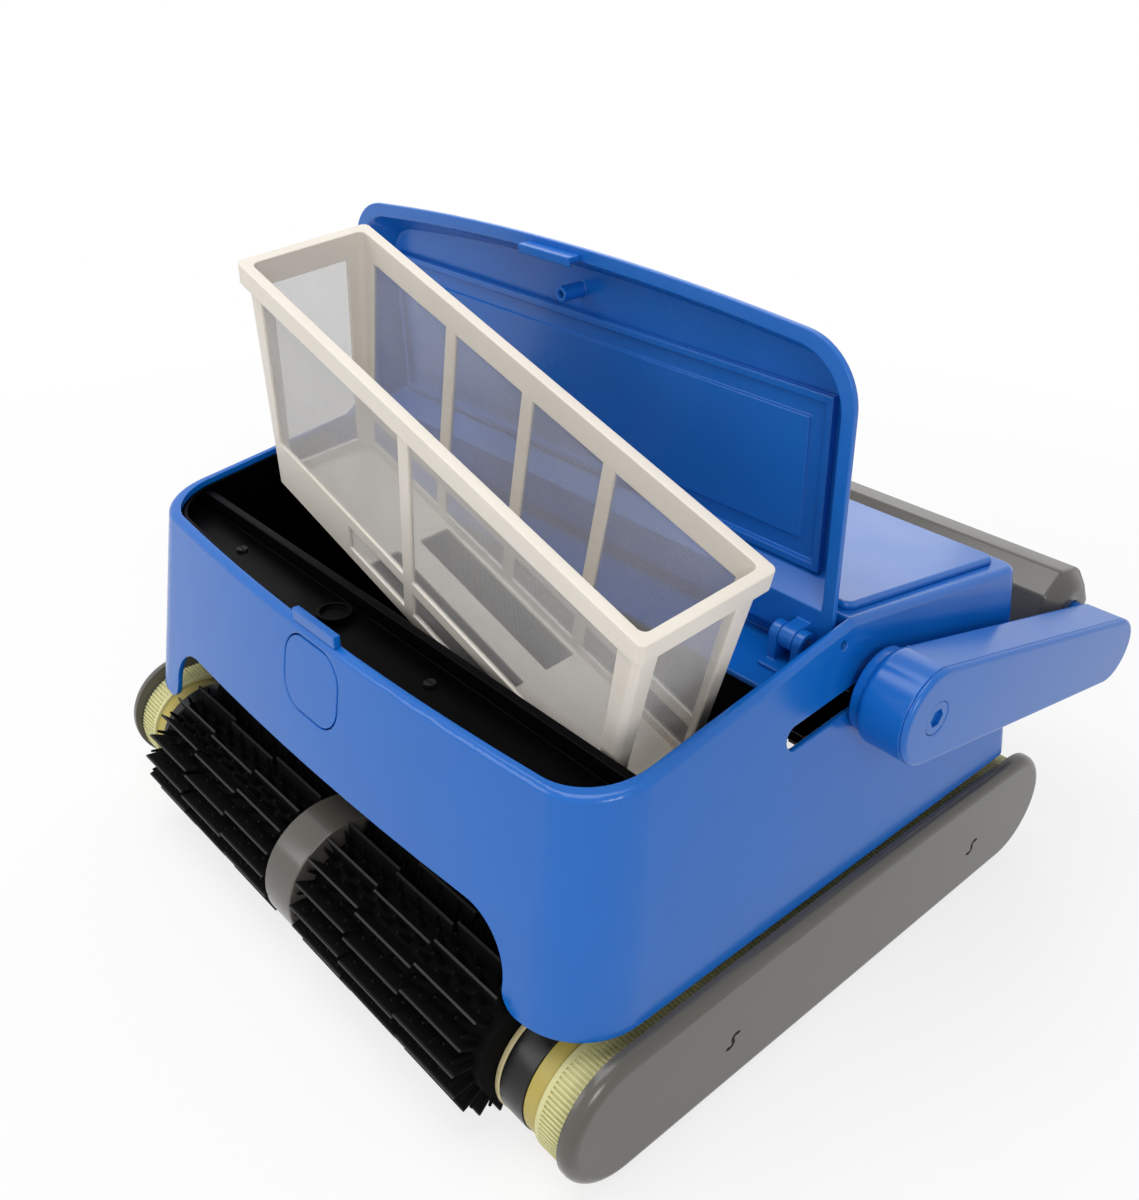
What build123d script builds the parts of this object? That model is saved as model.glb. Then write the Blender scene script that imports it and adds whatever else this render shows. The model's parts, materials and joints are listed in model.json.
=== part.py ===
from build123d import *
import math
import os

# A tracked pool cleaner, stored with its lid open and its filter basket lifted.
# Millimetres. +X is to the right, -Y is the front, +Z is up and the floor is z = 0.
# Places along Y are from the middle of the bottom plate; the model is moved to its origin at the end.

# Overall layout
overall_width = 430.0
wheelbase = 311.0
drive_y = 6.5
fit_gap = 0.3
running_gap = 0.05

# Tracks and side panels
track_outer_r = 32.5
track_thickness = 3.2
track_width = 18.0
track_groove_depth = 1.0
track_groove_width = 2.0
track_groove_count = 140
panel_thickness = 8.0
panel_z = 36.5
panel_end_r = 36.0
panel_crown = 2.5
panel_edge_round = 6.0
panel_slot_r = 2.4
panel_slot_width = 2.2
panel_slot_drop = 4.5
panel_slot_places = (-87.5, 118.5)

# Wheels, from the track inwards
wheel_wall = 3.0
wheel_web = 4.0
hub_width = 9.5
hub_r = 31.0
hub_boss_r = 9.0
hub_boss_length = 13.0
ring_width = 16.0
ring_r = 31.6
flange_width = 3.0
flange_r = 32.0
flange_bore_r = 25.4
axle_r = 5.0
axle_collar_r = 8.0
axle_depth_in_panel = 5.0
crank_width = 3.0
crank_r = 8.0
crank_pin_r = 4.0
crank_pin_gap = 1.5

# Gears that drive the brushes
gear_module = 1.5
ring_teeth = 36
pinion_teeth = 16
pressure_angle = math.radians(20.0)
gear_backlash = 0.5
ring_addendum = 0.5
pinion_addendum = 0.8
gear_dedendum = 1.2
flank_steps = 4

# Brushes and the bridges between their halves
brush_rise = 9.5
brush_r = 41.8
brush_core_r = 29.0
brush_core_wall = 4.0
brush_neck_r = 8.0
brush_fin_count = 10
brush_fin_thickness = 2.4
brush_nub_columns = 10
brush_nub_size = 2.6
brush_nub_r = 39.0
brush_end_gap = 0.8
brush_arch_gap = 1.0
bridge_half_width = 13.0
bridge_r = 39.0
bridge_pin_length = 11.0
bridge_arm_height = 24.0
bridge_foot = 2.0

# Main shell: a bowed, drafted box under a two-sided roof
shell_bottom_z = 76.0
shell_loft_top_z = 232.0
shell_half_bottom = 205.0
shell_half_top = 189.9
shell_front_bottom = -180.0
shell_front_top = -155.2
shell_rear_bottom = 166.0
shell_rear_top = 151.0
shell_corner_bottom = 38.0
shell_corner_top = 32.0
shell_corner_rear = 10.0
front_bow = 9.5
shell_wall = 3.0
rim_thickness = 4.0
rim_round = 4.0
ridge_y = 7.5
ridge_z = 219.0
front_slope = 0.17
rear_slope = 0.152
arch_half_width = 156.0
arch_top_z = 117.0
arch_corner_r = 29.0
arch_flare = 11.0
opening_half_width = 187.0
opening_front_y = -157.0
opening_corner_r = 32.0
ledge_front_y = -34.0
ledge_z = 192.0
ledge_thickness = 3.0
hinge_wall_y = 6.0
louvre_count = 5
louvre_width = 90.0
louvre_height = 3.0
louvre_pitch = 8.0
louvre_z = 150.0
side_hole_r = 2.3
side_hole_rise = 9.0

# Rear deck
deck_half_width = 184.0
deck_front_y = 11.0
deck_rear_y = 144.0
deck_corner_r = 6.0
deck_rise = 4.0
deck_rim_inset = 12.0
deck_rim_wall = 3.0
deck_rim_depth = 6.0

# Filter chamber
chamber_half_width = 188.5
chamber_front_y = -155.8
chamber_rear_y = -31.5
chamber_wall = 2.5
chamber_step_z = 95.0
basin_front_y = -123.5
shelf_z = 178.0
basin_wall_top_z = 184.0
partition_top_z = 191.0
partition_width = 5.0
well_half_width = 158.0
well_front_y = -118.0
well_bottom_z = 30.0
plug_r = 9.5
plug_height = 4.0
plug_rim = 2.0
plug_place = (-22.0, -136.0)

# Lid, measured from its hinge axis
hinge_y = -8.8
hinge_z = 206.0
lid_open_angle = 97.0
lid_gap = 2.0
lid_rise = 11.0
lid_rear = 5.0
lid_flange_width = 4.0
lid_hinge_margin = 13.0
lid_flange_thickness = 3.0
lid_dome = 16.0
lid_dome_draft = 9.0
lid_wall = 2.5
lid_corner_r = 31.0
liner_side_gap = 4.5
liner_front_margin = 38.0
liner_base = 1.0
liner_ridge_width = 4.0
liner_ridge_height = 4.0
liner_panel_inset = 13.0
liner_panel_height = 2.5
lid_post_r = 4.0
lid_post_bore_r = 2.0
lid_post_height = 14.0
lid_post_margin = 27.0
latch_tab_width = 38.0
latch_tab_height = 8.0
latch_tab_thickness = 3.0
latch_tab_setback = 3.0
latch_lip = 1.5
knuckle_r = 6.0
knuckle_x = 169.0
knuckle_width = 8.0
hinge_pin_r = 3.0
lug_width = 5.0

# Filter basket, in its own frame with the rim's top at z = 0
basket_length = 294.7
basket_width = 73.0
basket_depth = 137.0
basket_rim_height = 11.0
basket_rim_overhang = 3.0
basket_taper = 4.0
basket_wall = 2.6
basket_corner_r = 3.5
basket_rail_z = -109.0
basket_bar = 8.0
basket_front_post_x = -12.0
basket_rear_posts = (-65.0, -5.0, 53.0)
basket_mesh = 0.6
basket_seat_x = -4.0
basket_seat_y = -80.0
basket_floor_gap = 0.4
basket_lift_angle = 18.35
basket_lift_reach = 453.0
basket_lift_forward = 113.3
basket_lift_drop = 120.8
basket_lift_axis = (0.40044, 0.91441, -0.05913)

# Handle
slot_start_y = -33.0
slot_end_y = 51.0
slot_start_z = 175.0
slot_rise = 0.083
slot_half_height = 6.3
pivot_y = 22.0
arm_inner_x = 204.0
arm_outer_x = 232.0
arm_r = 25.0
arm_end_r = 20.0
arm_reach_y = 190.0
arm_drop_z = 43.0
arm_cover_thickness = 3.0
arm_boss_r = 22.0
arm_boss_x = 198.8
arm_edge_round = 4.0
pin_head_r = 8.0
pin_head_width = 2.0
bolt_head_r = 8.5
bolt_hex_r = 5.0
bolt_recess_depth = 2.0
bar_size = 50.0
bar_corner = 14.0
bar_rise = 8.5
bar_setback = 7.0
bar_end_gap = 4.0
bar_end_chamfer = 9.0
spigot_r = 8.0
spigot_length = 12.0

# Release button in the front wall
button_width = 48.0
button_height = 40.0
button_corner_r = 15.0
button_z = 165.0
button_gap = 0.8
button_stem_r = 4.0
button_travel = 3.0
button_lip = 4.0
button_lip_thickness = 2.0
keeper_width = 38.0
keeper_height = 6.0
keeper_depth = 4.0

# Underside, drives and pump
plate_half_width = 170.0
plate_half_length = 112.0
plate_bottom_z = 14.0
plate_thickness = 4.0
frame_half_length = 95.0
frame_top_z = 56.0
frame_wall = 4.0
inlet_length = 110.0
inlet_width = 18.0
inlet_ys = (-96.0, -64.0)
post_x = 140.0
post_r = 8.0
flap_thickness = 1.6
flap_margin = 3.0
flap_pin_r = 1.2
flap_ear_width = 4.0
flap_ear_r = 3.0
roller_r = 12.0
roller_y = 62.0
motor_length = 52.0
motor_height = 34.0
roller_shaft_r = 3.0
pump_r = 36.0
pump_wall = 3.0
pump_z = 150.0
pump_motor_r = 24.0
pump_motor_length = 70.0
pump_motor_setback = 30.0
pump_rib = 4.0
pump_foot_width = 40.0
pump_foot_y = (30.0, 60.0)
impeller_r = 31.0
impeller_hub_r = 9.0
impeller_length = 18.0
impeller_blades = 5
impeller_blade = 2.0
impeller_pitch = 35.0
impeller_gap = 4.0
impeller_shaft_r = 4.0
gland_y = 90.0
gland_z = 88.0
gland_width = 16.0
gland_top_z = 98.0
gland_lip = 3.0
gland_nose_r = 7.0
gland_bore_r = 4.0
gland_reach = 10.0
screw_head_r = 3.0
screw_head_height = 1.4
screw_shank_r = 1.4
screw_slot_width = 1.0
shelf_screw_xs = (-120.0, 60.0)
plate_screw_ys = (-70.0, 0.0)

# Values worked out from the sizes above
half_width = overall_width / 2
axle_y = wheelbase / 2
axle_z = track_outer_r
panel_inner_x = half_width - panel_thickness
track_outer_x = panel_inner_x - 0.5
track_inner_x = track_outer_x - track_width
track_inner_r = track_outer_r - track_thickness
drum_r = track_inner_r - fit_gap
hub_outer_x = track_inner_x - fit_gap
hub_inner_x = hub_outer_x - hub_width
ring_inner_x = hub_inner_x - ring_width
flange_inner_x = ring_inner_x - flange_width
web_inner_x = hub_inner_x + crank_width + 2 * fit_gap
gear_offset = gear_module * (ring_teeth - pinion_teeth) / 2
brush_y = axle_y + math.sqrt(gear_offset**2 - brush_rise**2)
brush_z = axle_z + brush_rise
brush_front_y = drive_y - brush_y - brush_r
slot_angle = math.degrees(math.atan(slot_rise))
pivot_z = slot_start_z + slot_rise * (pivot_y - slot_start_y)
arm_end_y = pivot_y + arm_reach_y
arm_end_z = pivot_z - arm_drop_z
arm_tilt = math.atan2(arm_drop_z, arm_reach_y)
bar_y = arm_end_y + bar_setback
bar_z = arm_end_z + bar_rise
bar_half_flat = bar_size / 2 - bar_corner
handle_rear_y = bar_y + math.cos(arm_tilt) * bar_size / 2 + math.sin(arm_tilt) * bar_half_flat
lid_closed_angle = math.degrees(math.atan(front_slope))
lid_front = (hinge_y - opening_front_y) / math.cos(math.atan(front_slope)) - lid_gap
lid_half_width = opening_half_width - lid_gap
basket_seat_z = well_bottom_z + chamber_wall + basket_floor_gap + basket_depth
origin_y = (brush_front_y + handle_rear_y) / 2
far = 400.0


def block(x, y, z):
    """A box between low and high values on each axis."""
    size = Box(x[1] - x[0], y[1] - y[0], z[1] - z[0])
    return Pos((x[0] + x[1]) / 2, (y[0] + y[1]) / 2, (z[0] + z[1]) / 2) * size


def rod_x(radius, x0, x1, y, z):
    """A cylinder along X."""
    return Pos((x0 + x1) / 2, y, z) * Rot(0, 90, 0) * Cylinder(radius, x1 - x0)


def rod_y(radius, x, y0, y1, z):
    """A cylinder along Y."""
    return Pos(x, (y0 + y1) / 2, z) * Rot(90, 0, 0) * Cylinder(radius, y1 - y0)


def rod_z(radius, x, y, z0, z1):
    """A cylinder along Z."""
    return Pos(x, y, (z0 + z1) / 2) * Cylinder(radius, z1 - z0)


def prism_x(sketch, x0, x1):
    """A sketch drawn in Y and Z, pulled along X."""
    return extrude(Plane.YZ.offset(x0) * sketch, x1 - x0)


def prism_y(sketch, y0, y1):
    """A sketch drawn in X and Z, pulled along Y."""
    return extrude(Plane.XZ.offset(-y0) * sketch, y0 - y1)


def prism_z(sketch, z0, z1):
    """A sketch drawn in X and Y, pulled along Z."""
    return extrude(Pos(0, 0, z0) * sketch, z1 - z0)


def on_side(shape, side):
    """A piece made for the right-hand side, kept there or mirrored to the left."""
    return shape if side > 0 else mirror(shape, about=Plane.YZ)


def bowed_outline(half_x, y_front, y_rear, bow, radius, rear_radius):
    """A plan outline whose front edge bows forward, with rounded corners."""
    corner_y = y_front + bow
    front = ThreePointArc((-half_x, corner_y), (0, y_front), (half_x, corner_y))
    back = Polyline((half_x, corner_y), (half_x, y_rear), (-half_x, y_rear), (-half_x, corner_y))
    face = make_face([front, *back.edges()])
    face = fillet(face.vertices().group_by(Axis.Y)[0], radius)
    return fillet(face.vertices().group_by(Axis.Y)[-1], rear_radius)


def roof(drop):
    """Everything under the two-sided roof, lowered by drop."""
    top = ridge_z - drop
    outline = make_face(
        Polyline(
            (-far, 0),
            (far, 0),
            (far, top - rear_slope * (far - ridge_y)),
            (ridge_y, top),
            (-far, top - front_slope * (far + ridge_y)),
            close=True,
        )
    )
    return prism_x(outline, -far, far)


def body_block(inset):
    """The drafted outer body, drawn in by inset on every side."""
    bottom = bowed_outline(
        shell_half_bottom - inset,
        shell_front_bottom + inset,
        shell_rear_bottom - inset,
        front_bow,
        shell_corner_bottom - inset,
        shell_corner_rear - inset,
    )
    top = bowed_outline(
        shell_half_top - inset,
        shell_front_top + inset,
        shell_rear_top - inset,
        front_bow,
        shell_corner_top - inset,
        shell_corner_rear - inset,
    )
    return loft([Pos(0, 0, shell_bottom_z) * bottom, Pos(0, 0, shell_loft_top_z) * top], ruled=True)


def front_wall_y(z):
    """The outer face of the front wall at its middle."""
    rise = (z - shell_bottom_z) / (shell_loft_top_z - shell_bottom_z)
    return shell_front_bottom + rise * (shell_front_top - shell_front_bottom)


def rear_wall_y(z):
    """The outer face of the rear wall."""
    rise = (z - shell_bottom_z) / (shell_loft_top_z - shell_bottom_z)
    return shell_rear_bottom + rise * (shell_rear_top - shell_rear_bottom)


def side_wall_x(z):
    """The outer face of the side wall."""
    rise = (z - shell_bottom_z) / (shell_loft_top_z - shell_bottom_z)
    return shell_half_bottom + rise * (shell_half_top - shell_half_bottom)


def roof_z(y):
    """The height of the roof."""
    slope = front_slope if y < ridge_y else -rear_slope
    return ridge_z + slope * (y - ridge_y)


def button_prism(grow, y0, y1):
    """The rounded outline of the release button, pulled along Y."""
    outline = RectangleRounded(button_width + 2 * grow, button_height + 2 * grow, button_corner_r + grow)
    return prism_y(Pos(0, button_z) * outline, y0, y1)


def handle_slot():
    """The sloping slot in both side walls that the handle's pins slide in."""
    run = math.hypot(slot_end_y - slot_start_y, slot_rise * (slot_end_y - slot_start_y))
    middle_y = (slot_start_y + slot_end_y) / 2
    middle_z = slot_start_z + slot_rise * (middle_y - slot_start_y)
    sketch = Pos(middle_y, middle_z) * Rot(0, 0, slot_angle) * SlotCenterToCenter(run, 2 * slot_half_height)
    return prism_x(sketch, -far, far)


def deck_outline(inset):
    """The plan of the rear deck, drawn in by inset."""
    width = 2 * (deck_half_width - inset)
    length = deck_rear_y - deck_front_y - 2 * inset
    middle = (deck_front_y + deck_rear_y) / 2
    return Pos(0, middle) * RectangleRounded(width, length, deck_corner_r)


def arch_outline():
    """The front view of a brush arch, with its lower corners rounded outwards."""
    arch = RectangleRounded(2 * arch_half_width, 2 * arch_top_z, arch_corner_r)
    for side in (1, -1):
        corner = Pos(side * (arch_half_width + arch_flare / 2), shell_bottom_z) * Rectangle(
            arch_flare, 2 * arch_flare
        )
        arch += corner - Pos(side * (arch_half_width + arch_flare), shell_bottom_z + arch_flare) * Circle(
            arch_flare
        )
    return arch


def rim_edges(body):
    """The outer edges of the roof, without its ridge."""

    def on_rim(edge):
        middle = edge.center()
        return abs(middle.Z - roof_z(middle.Y)) < running_gap and abs(middle.Y - ridge_y) > fit_gap

    return body.edges().filter_by(on_rim)


def main_shell():
    """Blue moulded body with a rim, brush arches, handle slots, a button hole and rear louvres."""
    outer = body_block(0) & roof(0)
    outer = fillet(rim_edges(outer), rim_round)
    shell = outer - (body_block(shell_wall) & roof(rim_thickness))
    opening = bowed_outline(
        opening_half_width, opening_front_y, deck_rear_y, front_bow, opening_corner_r, opening_corner_r
    )
    lid_hole = prism_z(opening, chamber_step_z, far) & block((-far, far), (-far, hinge_wall_y), (0, far))
    shell -= lid_hole
    shell -= prism_z(deck_outline(deck_rim_inset), chamber_step_z, far)
    ledge = block((-far, far), (ledge_front_y, hinge_wall_y), (ledge_z - ledge_thickness, ledge_z))
    wall_z = (ledge_z - ledge_thickness, far)
    wall = block((-far, far), (hinge_wall_y, hinge_wall_y + shell_wall), wall_z)
    shell += (ledge + wall) & outer
    shell -= prism_y(arch_outline(), -far, far)
    shell -= handle_slot()
    shell -= button_prism(button_gap, -far, opening_front_y + front_bow)
    louvres = []
    for index in range(louvre_count):
        z = louvre_z + (index - (louvre_count - 1) / 2) * louvre_pitch
        slot = Rectangle(louvre_width, louvre_height)
        louvres.append(prism_y(Pos(0, z) * slot, rear_wall_y(z) - 2 * shell_wall, far))
    shell -= louvres
    notch_y = (gland_y - gland_width / 2, gland_y + gland_width / 2)
    shell -= block((-far, 0), notch_y, (0, gland_top_z))
    for side in (1, -1):
        hole = rod_x(side_hole_r, shell_half_top - shell_wall, far, 0, roof_z(0) - side_hole_rise)
        shell -= on_side(hole, side)
    return shell


def rear_deck():
    """Deck plate that lies on the roof behind the lid, with a locating rim under it."""
    plate = prism_z(deck_outline(0), chamber_step_z, far) & (roof(-deck_rise) - roof(0))
    plate = fillet(plate.edges().filter_by(GeomType.LINE).group_by(Axis.Z)[-1], deck_rise / 2)
    rim_outer = deck_outline(deck_rim_inset + fit_gap)
    rim_inner = deck_outline(deck_rim_inset + fit_gap + deck_rim_wall)
    rim = prism_z(rim_outer, chamber_step_z, far) - prism_z(rim_inner, chamber_step_z, far)
    return plate + (rim & (roof(0) - roof(deck_rim_depth)))


def filter_chamber():
    """Black tub: a deep well for the basket, a wide basin above it and a front shelf."""
    wall = chamber_wall
    basin_y = (basin_front_y, chamber_rear_y)
    outer = block((-chamber_half_width, chamber_half_width), basin_y, (chamber_step_z, far))
    well_x = (-well_half_width, well_half_width)
    outer += block(well_x, (well_front_y, chamber_rear_y), (well_bottom_z, chamber_step_z + wall))
    inner_x = chamber_half_width - wall
    inner_y = (basin_front_y + wall, chamber_rear_y - wall)
    inner = block((-inner_x, inner_x), inner_y, (chamber_step_z + wall, far))
    well_inner_x = well_half_width - wall
    well_inner_y = (well_front_y + wall, chamber_rear_y - wall)
    inner += block((-well_inner_x, well_inner_x), well_inner_y, (well_bottom_z + wall, far))
    corner = opening_corner_r
    front_plan = bowed_outline(chamber_half_width, chamber_front_y, 0, front_bow, corner, corner)
    corner -= wall
    front_inner = bowed_outline(inner_x, chamber_front_y + wall, 0, front_bow, corner, corner)
    front_y = block((-far, far), (-far, basin_front_y + wall), (0, far))
    bay = prism_z(front_plan, shelf_z, far) - prism_z(front_inner, shelf_z + wall, far)
    above_bar = block((-inner_x, inner_x), (-far, basin_front_y + wall), (basin_wall_top_z, far))
    tub = (outer - inner - above_bar) + (bay & front_y)
    tub -= block((-far, far), (ledge_front_y - fit_gap, far), (ledge_z - ledge_thickness, far))
    tub += rod_y(2 * button_stem_r, 0, basin_front_y - 3 * button_travel, basin_front_y, button_z)
    tub -= rod_y(button_stem_r + running_gap, 0, front_wall_y(button_z), basin_front_y, button_z)
    for y in inlet_ys:
        x_span, y_span = inlet_gap(y, 0)
        tub -= block(x_span, y_span, (well_bottom_z - 1, well_bottom_z + wall + 1))
    for x, y, z in shelf_screws():
        tub -= rod_z(screw_shank_r, x, y, z - wall, z)
    duct_hole = rod_y(pump_r - pump_wall, 0, chamber_rear_y - 2 * wall, chamber_rear_y + wall, pump_z)
    tub -= duct_hole
    return tub & roof(rim_thickness)


def chamber_partition():
    """Bar along the top of the wall between the basin and the front shelf."""
    middle = basin_front_y + chamber_wall / 2
    inset = chamber_wall + fit_gap
    y = (middle - partition_width / 2, middle + partition_width / 2)
    bar = block((-chamber_half_width, chamber_half_width), y, (basin_wall_top_z, partition_top_z))
    corner = opening_corner_r - chamber_wall
    plan = bowed_outline(
        chamber_half_width - inset, chamber_front_y + inset, 0, front_bow, corner, corner
    )
    return bar & prism_z(plan, chamber_step_z, far)


def chamber_plug():
    """Round plug on the front shelf, with a raised rim."""
    x, y = plug_place
    z = shelf_z + chamber_wall
    plug = rod_z(plug_r, x, y, z, z + plug_height)
    return plug - rod_z(plug_r - plug_rim, x, y, z + plug_height / 2, z + plug_height)


def lid_outline(inset):
    """The plan of the lid about its hinge, drawn in by inset."""
    rear = lid_rear - inset - (lid_hinge_margin if inset > 0 else 0)
    corner = lid_corner_r - inset / 2
    face = bowed_outline(lid_half_width - inset, -lid_front + inset, far, front_bow, corner, corner)
    return face & (Pos(0, rear - far / 2) * Rectangle(2 * far, far))


def lid_place():
    """Where the lid lies when it stands open."""
    return Pos(0, hinge_y, hinge_z) * Rot(lid_closed_angle - lid_open_angle, 0, 0)


def lid_dome_block(inset, top):
    """The raised middle of the lid, drawn in by inset and drafted."""
    base = lid_outline(lid_flange_width + inset)
    crown = lid_outline(lid_flange_width + inset + lid_dome_draft)
    return loft([Pos(0, 0, lid_rise - lid_flange_thickness) * base, Pos(0, 0, top) * crown], ruled=True)


def lid_shell():
    """Blue lid: a flat flange, a dished middle and two hinge knuckles on arms."""
    low = lid_rise - lid_flange_thickness
    lid = prism_z(lid_outline(0), low, lid_rise) + lid_dome_block(0, lid_rise + lid_dome)
    floor = lid_rise + lid_dome - lid_wall
    lid -= lid_dome_block(lid_wall, floor)
    post_y = -lid_front + lid_post_margin
    lid += rod_z(lid_post_r, 0, post_y, floor - lid_post_height, floor)
    lid -= rod_z(lid_post_bore_r, 0, post_y, floor - lid_post_height, floor)
    for side in (1, -1):
        x = (knuckle_x - knuckle_width / 2, knuckle_x + knuckle_width / 2)
        knuckle = rod_x(knuckle_r, x[0], x[1], 0, 0) + block(x, (-knuckle_r, 0), (0, low))
        knuckle -= rod_x(hinge_pin_r + running_gap, x[0] - 1, x[1] + 1, 0, 0)
        lid += on_side(knuckle, side)
    return lid_place() * lid


def lid_liner():
    """Rectangular inner panel in the lid's dish: a ridge round its edge and a raised middle."""
    floor = lid_rise + lid_dome - lid_wall
    dish_edge = lid_flange_width + lid_wall + lid_dome_draft
    half = lid_half_width - dish_edge - liner_side_gap
    y = (-lid_front + liner_front_margin, lid_rear - lid_hinge_margin - dish_edge - fit_gap)

    def plate(inset, height):
        x_span = (-half + inset, half - inset)
        return block(x_span, (y[0] + inset, y[1] - inset), (floor - height, floor))

    ridge = plate(0, liner_ridge_height) - plate(liner_ridge_width, liner_ridge_height)
    liner = ridge + plate(0, liner_base) + plate(liner_panel_inset, liner_panel_height)
    return lid_place() * liner


def lid_latch_tab():
    """Tab under the front edge of the lid that the keeper holds."""
    x = (-latch_tab_width / 2, latch_tab_width / 2)
    front = -lid_front + latch_tab_setback
    top = lid_rise - lid_flange_thickness
    low = top - latch_tab_height
    tab = block(x, (front, front + latch_tab_thickness), (low, top))
    lip = block(x, (front, front + latch_tab_thickness + latch_lip), (low, low + latch_lip))
    return lid_place() * (tab + lip)


def hinge_brackets():
    """Two brackets on the rear ledge, each with a pair of lugs round a lid knuckle."""
    half_gap = knuckle_width / 2 + fit_gap
    x0 = knuckle_x - half_gap - lug_width
    x1 = knuckle_x + half_gap + lug_width
    foot = block((x0, x1), (hinge_y - 2 * knuckle_r, hinge_y + knuckle_r), (ledge_z, ledge_z + 2))
    lugs = block((x0, x1), (hinge_y - knuckle_r, hinge_y + knuckle_r), (ledge_z, hinge_z))
    lugs += rod_x(knuckle_r, x0, x1, hinge_y, hinge_z)
    slot_y = (hinge_y - 3 * knuckle_r, hinge_y + 3 * knuckle_r)
    lugs -= block((knuckle_x - half_gap, knuckle_x + half_gap), slot_y, (ledge_z + 2, far))
    bracket = foot + lugs - rod_x(hinge_pin_r, x0 - 1, x1 + 1, hinge_y, hinge_z)
    return Compound([on_side(bracket, side) for side in (1, -1)])


def lid_hinge_pins():
    """Two pins pressed into the brackets."""
    reach = knuckle_width / 2 + fit_gap + lug_width
    pin = rod_x(hinge_pin_r, knuckle_x - reach, knuckle_x + reach, hinge_y, hinge_z)
    return Compound([on_side(pin, side) for side in (1, -1)])


def basket_box(inset, top, bottom):
    """A tapered box in the basket's own frame."""
    length = basket_length - 2 * (basket_rim_overhang + inset)
    width = basket_width - 2 * (basket_rim_overhang + inset)
    corner = basket_corner_r

    def section(z):
        narrow = 2 * basket_taper * z / basket_depth
        return Pos(0, 0, z) * RectangleRounded(length + narrow, width + narrow, corner)

    return loft([section(bottom), section(top)], ruled=True)


def basket_windows():
    """The openings in the basket's walls that hold the mesh."""
    top = -basket_rim_height - 3.0
    bottom = -basket_depth + basket_bar
    rail_top = basket_rail_z + basket_bar / 2
    rail_bottom = basket_rail_z - basket_bar / 2
    end_x = basket_length / 2 - basket_rim_overhang - basket_taper - basket_bar
    end_y = basket_width / 2 - basket_rim_overhang - basket_taper - basket_bar
    half = basket_bar / 2
    front, rear = (-basket_width, 0), (0, basket_width)
    post = basket_front_post_x
    windows = [
        block((-end_x, post - half), front, (rail_top, top)),
        block((post + half, end_x), front, (rail_top, top)),
        block((-end_x / 2, post - half), front, (bottom, rail_bottom)),
        block((post + half, end_x), front, (bottom, rail_bottom)),
    ]
    edges = [-end_x - half, *basket_rear_posts, end_x + half]
    for left, right in zip(edges[:-1], edges[1:]):
        windows.append(block((left + half, right - half), rear, (rail_top, top)))
        windows.append(block((left + half, right - half), rear, (bottom, rail_bottom)))
    for x in ((-basket_length, 0), (0, basket_length)):
        windows.append(block(x, (-end_y, end_y), (bottom, top)))
    return windows


def basket_place(shape):
    """The basket moved to its seat and then swung up by its lift angle."""
    seated = Pos(basket_seat_x, basket_seat_y, basket_seat_z) * shape
    return seated.rotate(basket_axis(), basket_lift_angle)


def basket_axis():
    """The axis of the arc along which the basket is lifted out."""
    x = basket_seat_x + basket_lift_reach
    y = basket_seat_y - basket_lift_forward
    z = basket_seat_z - basket_lift_drop
    return Axis((x, y, z), basket_lift_axis)


def basket_frame():
    """Cream basket frame: rim, corner posts, rails and a floor with two inlets."""
    rim = prism_z(RectangleRounded(basket_length, basket_width, basket_corner_r), -basket_rim_height, 0)
    frame = rim + basket_box(0, -basket_rim_height, -basket_depth)
    frame -= basket_box(basket_wall, 1.0, -basket_depth + basket_wall)
    walls = block((-far, far), (-far, far), (-far, -basket_rim_height))
    for window in basket_windows():
        frame -= window & walls & hollow_reach()
    for y in inlet_ys:
        place = (y - basket_seat_y - inlet_width / 2, y - basket_seat_y + inlet_width / 2)
        frame -= block((-inlet_length / 2, inlet_length / 2), place, (-basket_depth - 1, -basket_depth + 5))
    return basket_place(frame)


def hollow_reach():
    """The walls of the basket, so that a window cuts one wall and not the space inside."""
    return basket_box(-1.0, 0, -basket_depth + basket_wall + 1) - basket_box(
        2 * basket_wall, 0, -basket_depth + basket_wall + 1
    )


def basket_mesh_panels():
    """Thin mesh panels that fill the windows, in the middle of the wall."""
    depth = (basket_wall - basket_mesh) / 2
    low = -basket_depth + basket_bar
    layer = basket_box(depth, -basket_rim_height, low) - basket_box(depth + basket_mesh, 0, low - 1)
    panels = []
    for window in basket_windows():
        panels.extend(basket_place(layer & window).solids())
    return Compound(panels)


def side_panel(side):
    """Grey side cover: a long rounded plate, slightly crowned on top, with two curved drain slots."""
    low, high = panel_z - panel_end_r, panel_z + panel_end_r
    bottom = Line((-axle_y, low), (axle_y, low))
    rear_end = ThreePointArc((axle_y, low), (axle_y + panel_end_r, panel_z), (axle_y, high))
    top = ThreePointArc((axle_y, high), (0, high + panel_crown), (-axle_y, high))
    front_end = ThreePointArc((-axle_y, high), (-axle_y - panel_end_r, panel_z), (-axle_y, low))
    panel = prism_x(make_face([bottom, rear_end, top, front_end]), panel_inner_x, half_width)
    panel = fillet(panel.faces().sort_by(Axis.X)[-1].edges(), panel_edge_round)
    for y in panel_slot_places:
        place = Pos(y, panel_z - panel_slot_drop)
        panel -= prism_x(place * drain_slot(), panel_inner_x - 1, half_width + 1)
    for y in (-axle_y, axle_y):
        panel -= rod_x(axle_r, panel_inner_x - 1, panel_inner_x + axle_depth_in_panel, y, axle_z)
    return on_side(Pos(0, drive_y, 0) * panel, side)


def drain_slot():
    """An S-shaped slot made of two half rings."""
    outer = panel_slot_r + panel_slot_width / 2
    inner = panel_slot_r - panel_slot_width / 2
    ring = Circle(outer) - Circle(inner)
    half = Pos(-far / 2, 0) * Rectangle(far, far)
    upper = Pos(0, panel_slot_r) * (ring & half)
    lower = Pos(0, -panel_slot_r) * (ring - half)
    return Rot(0, 0, -60) * (upper + lower)


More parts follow.
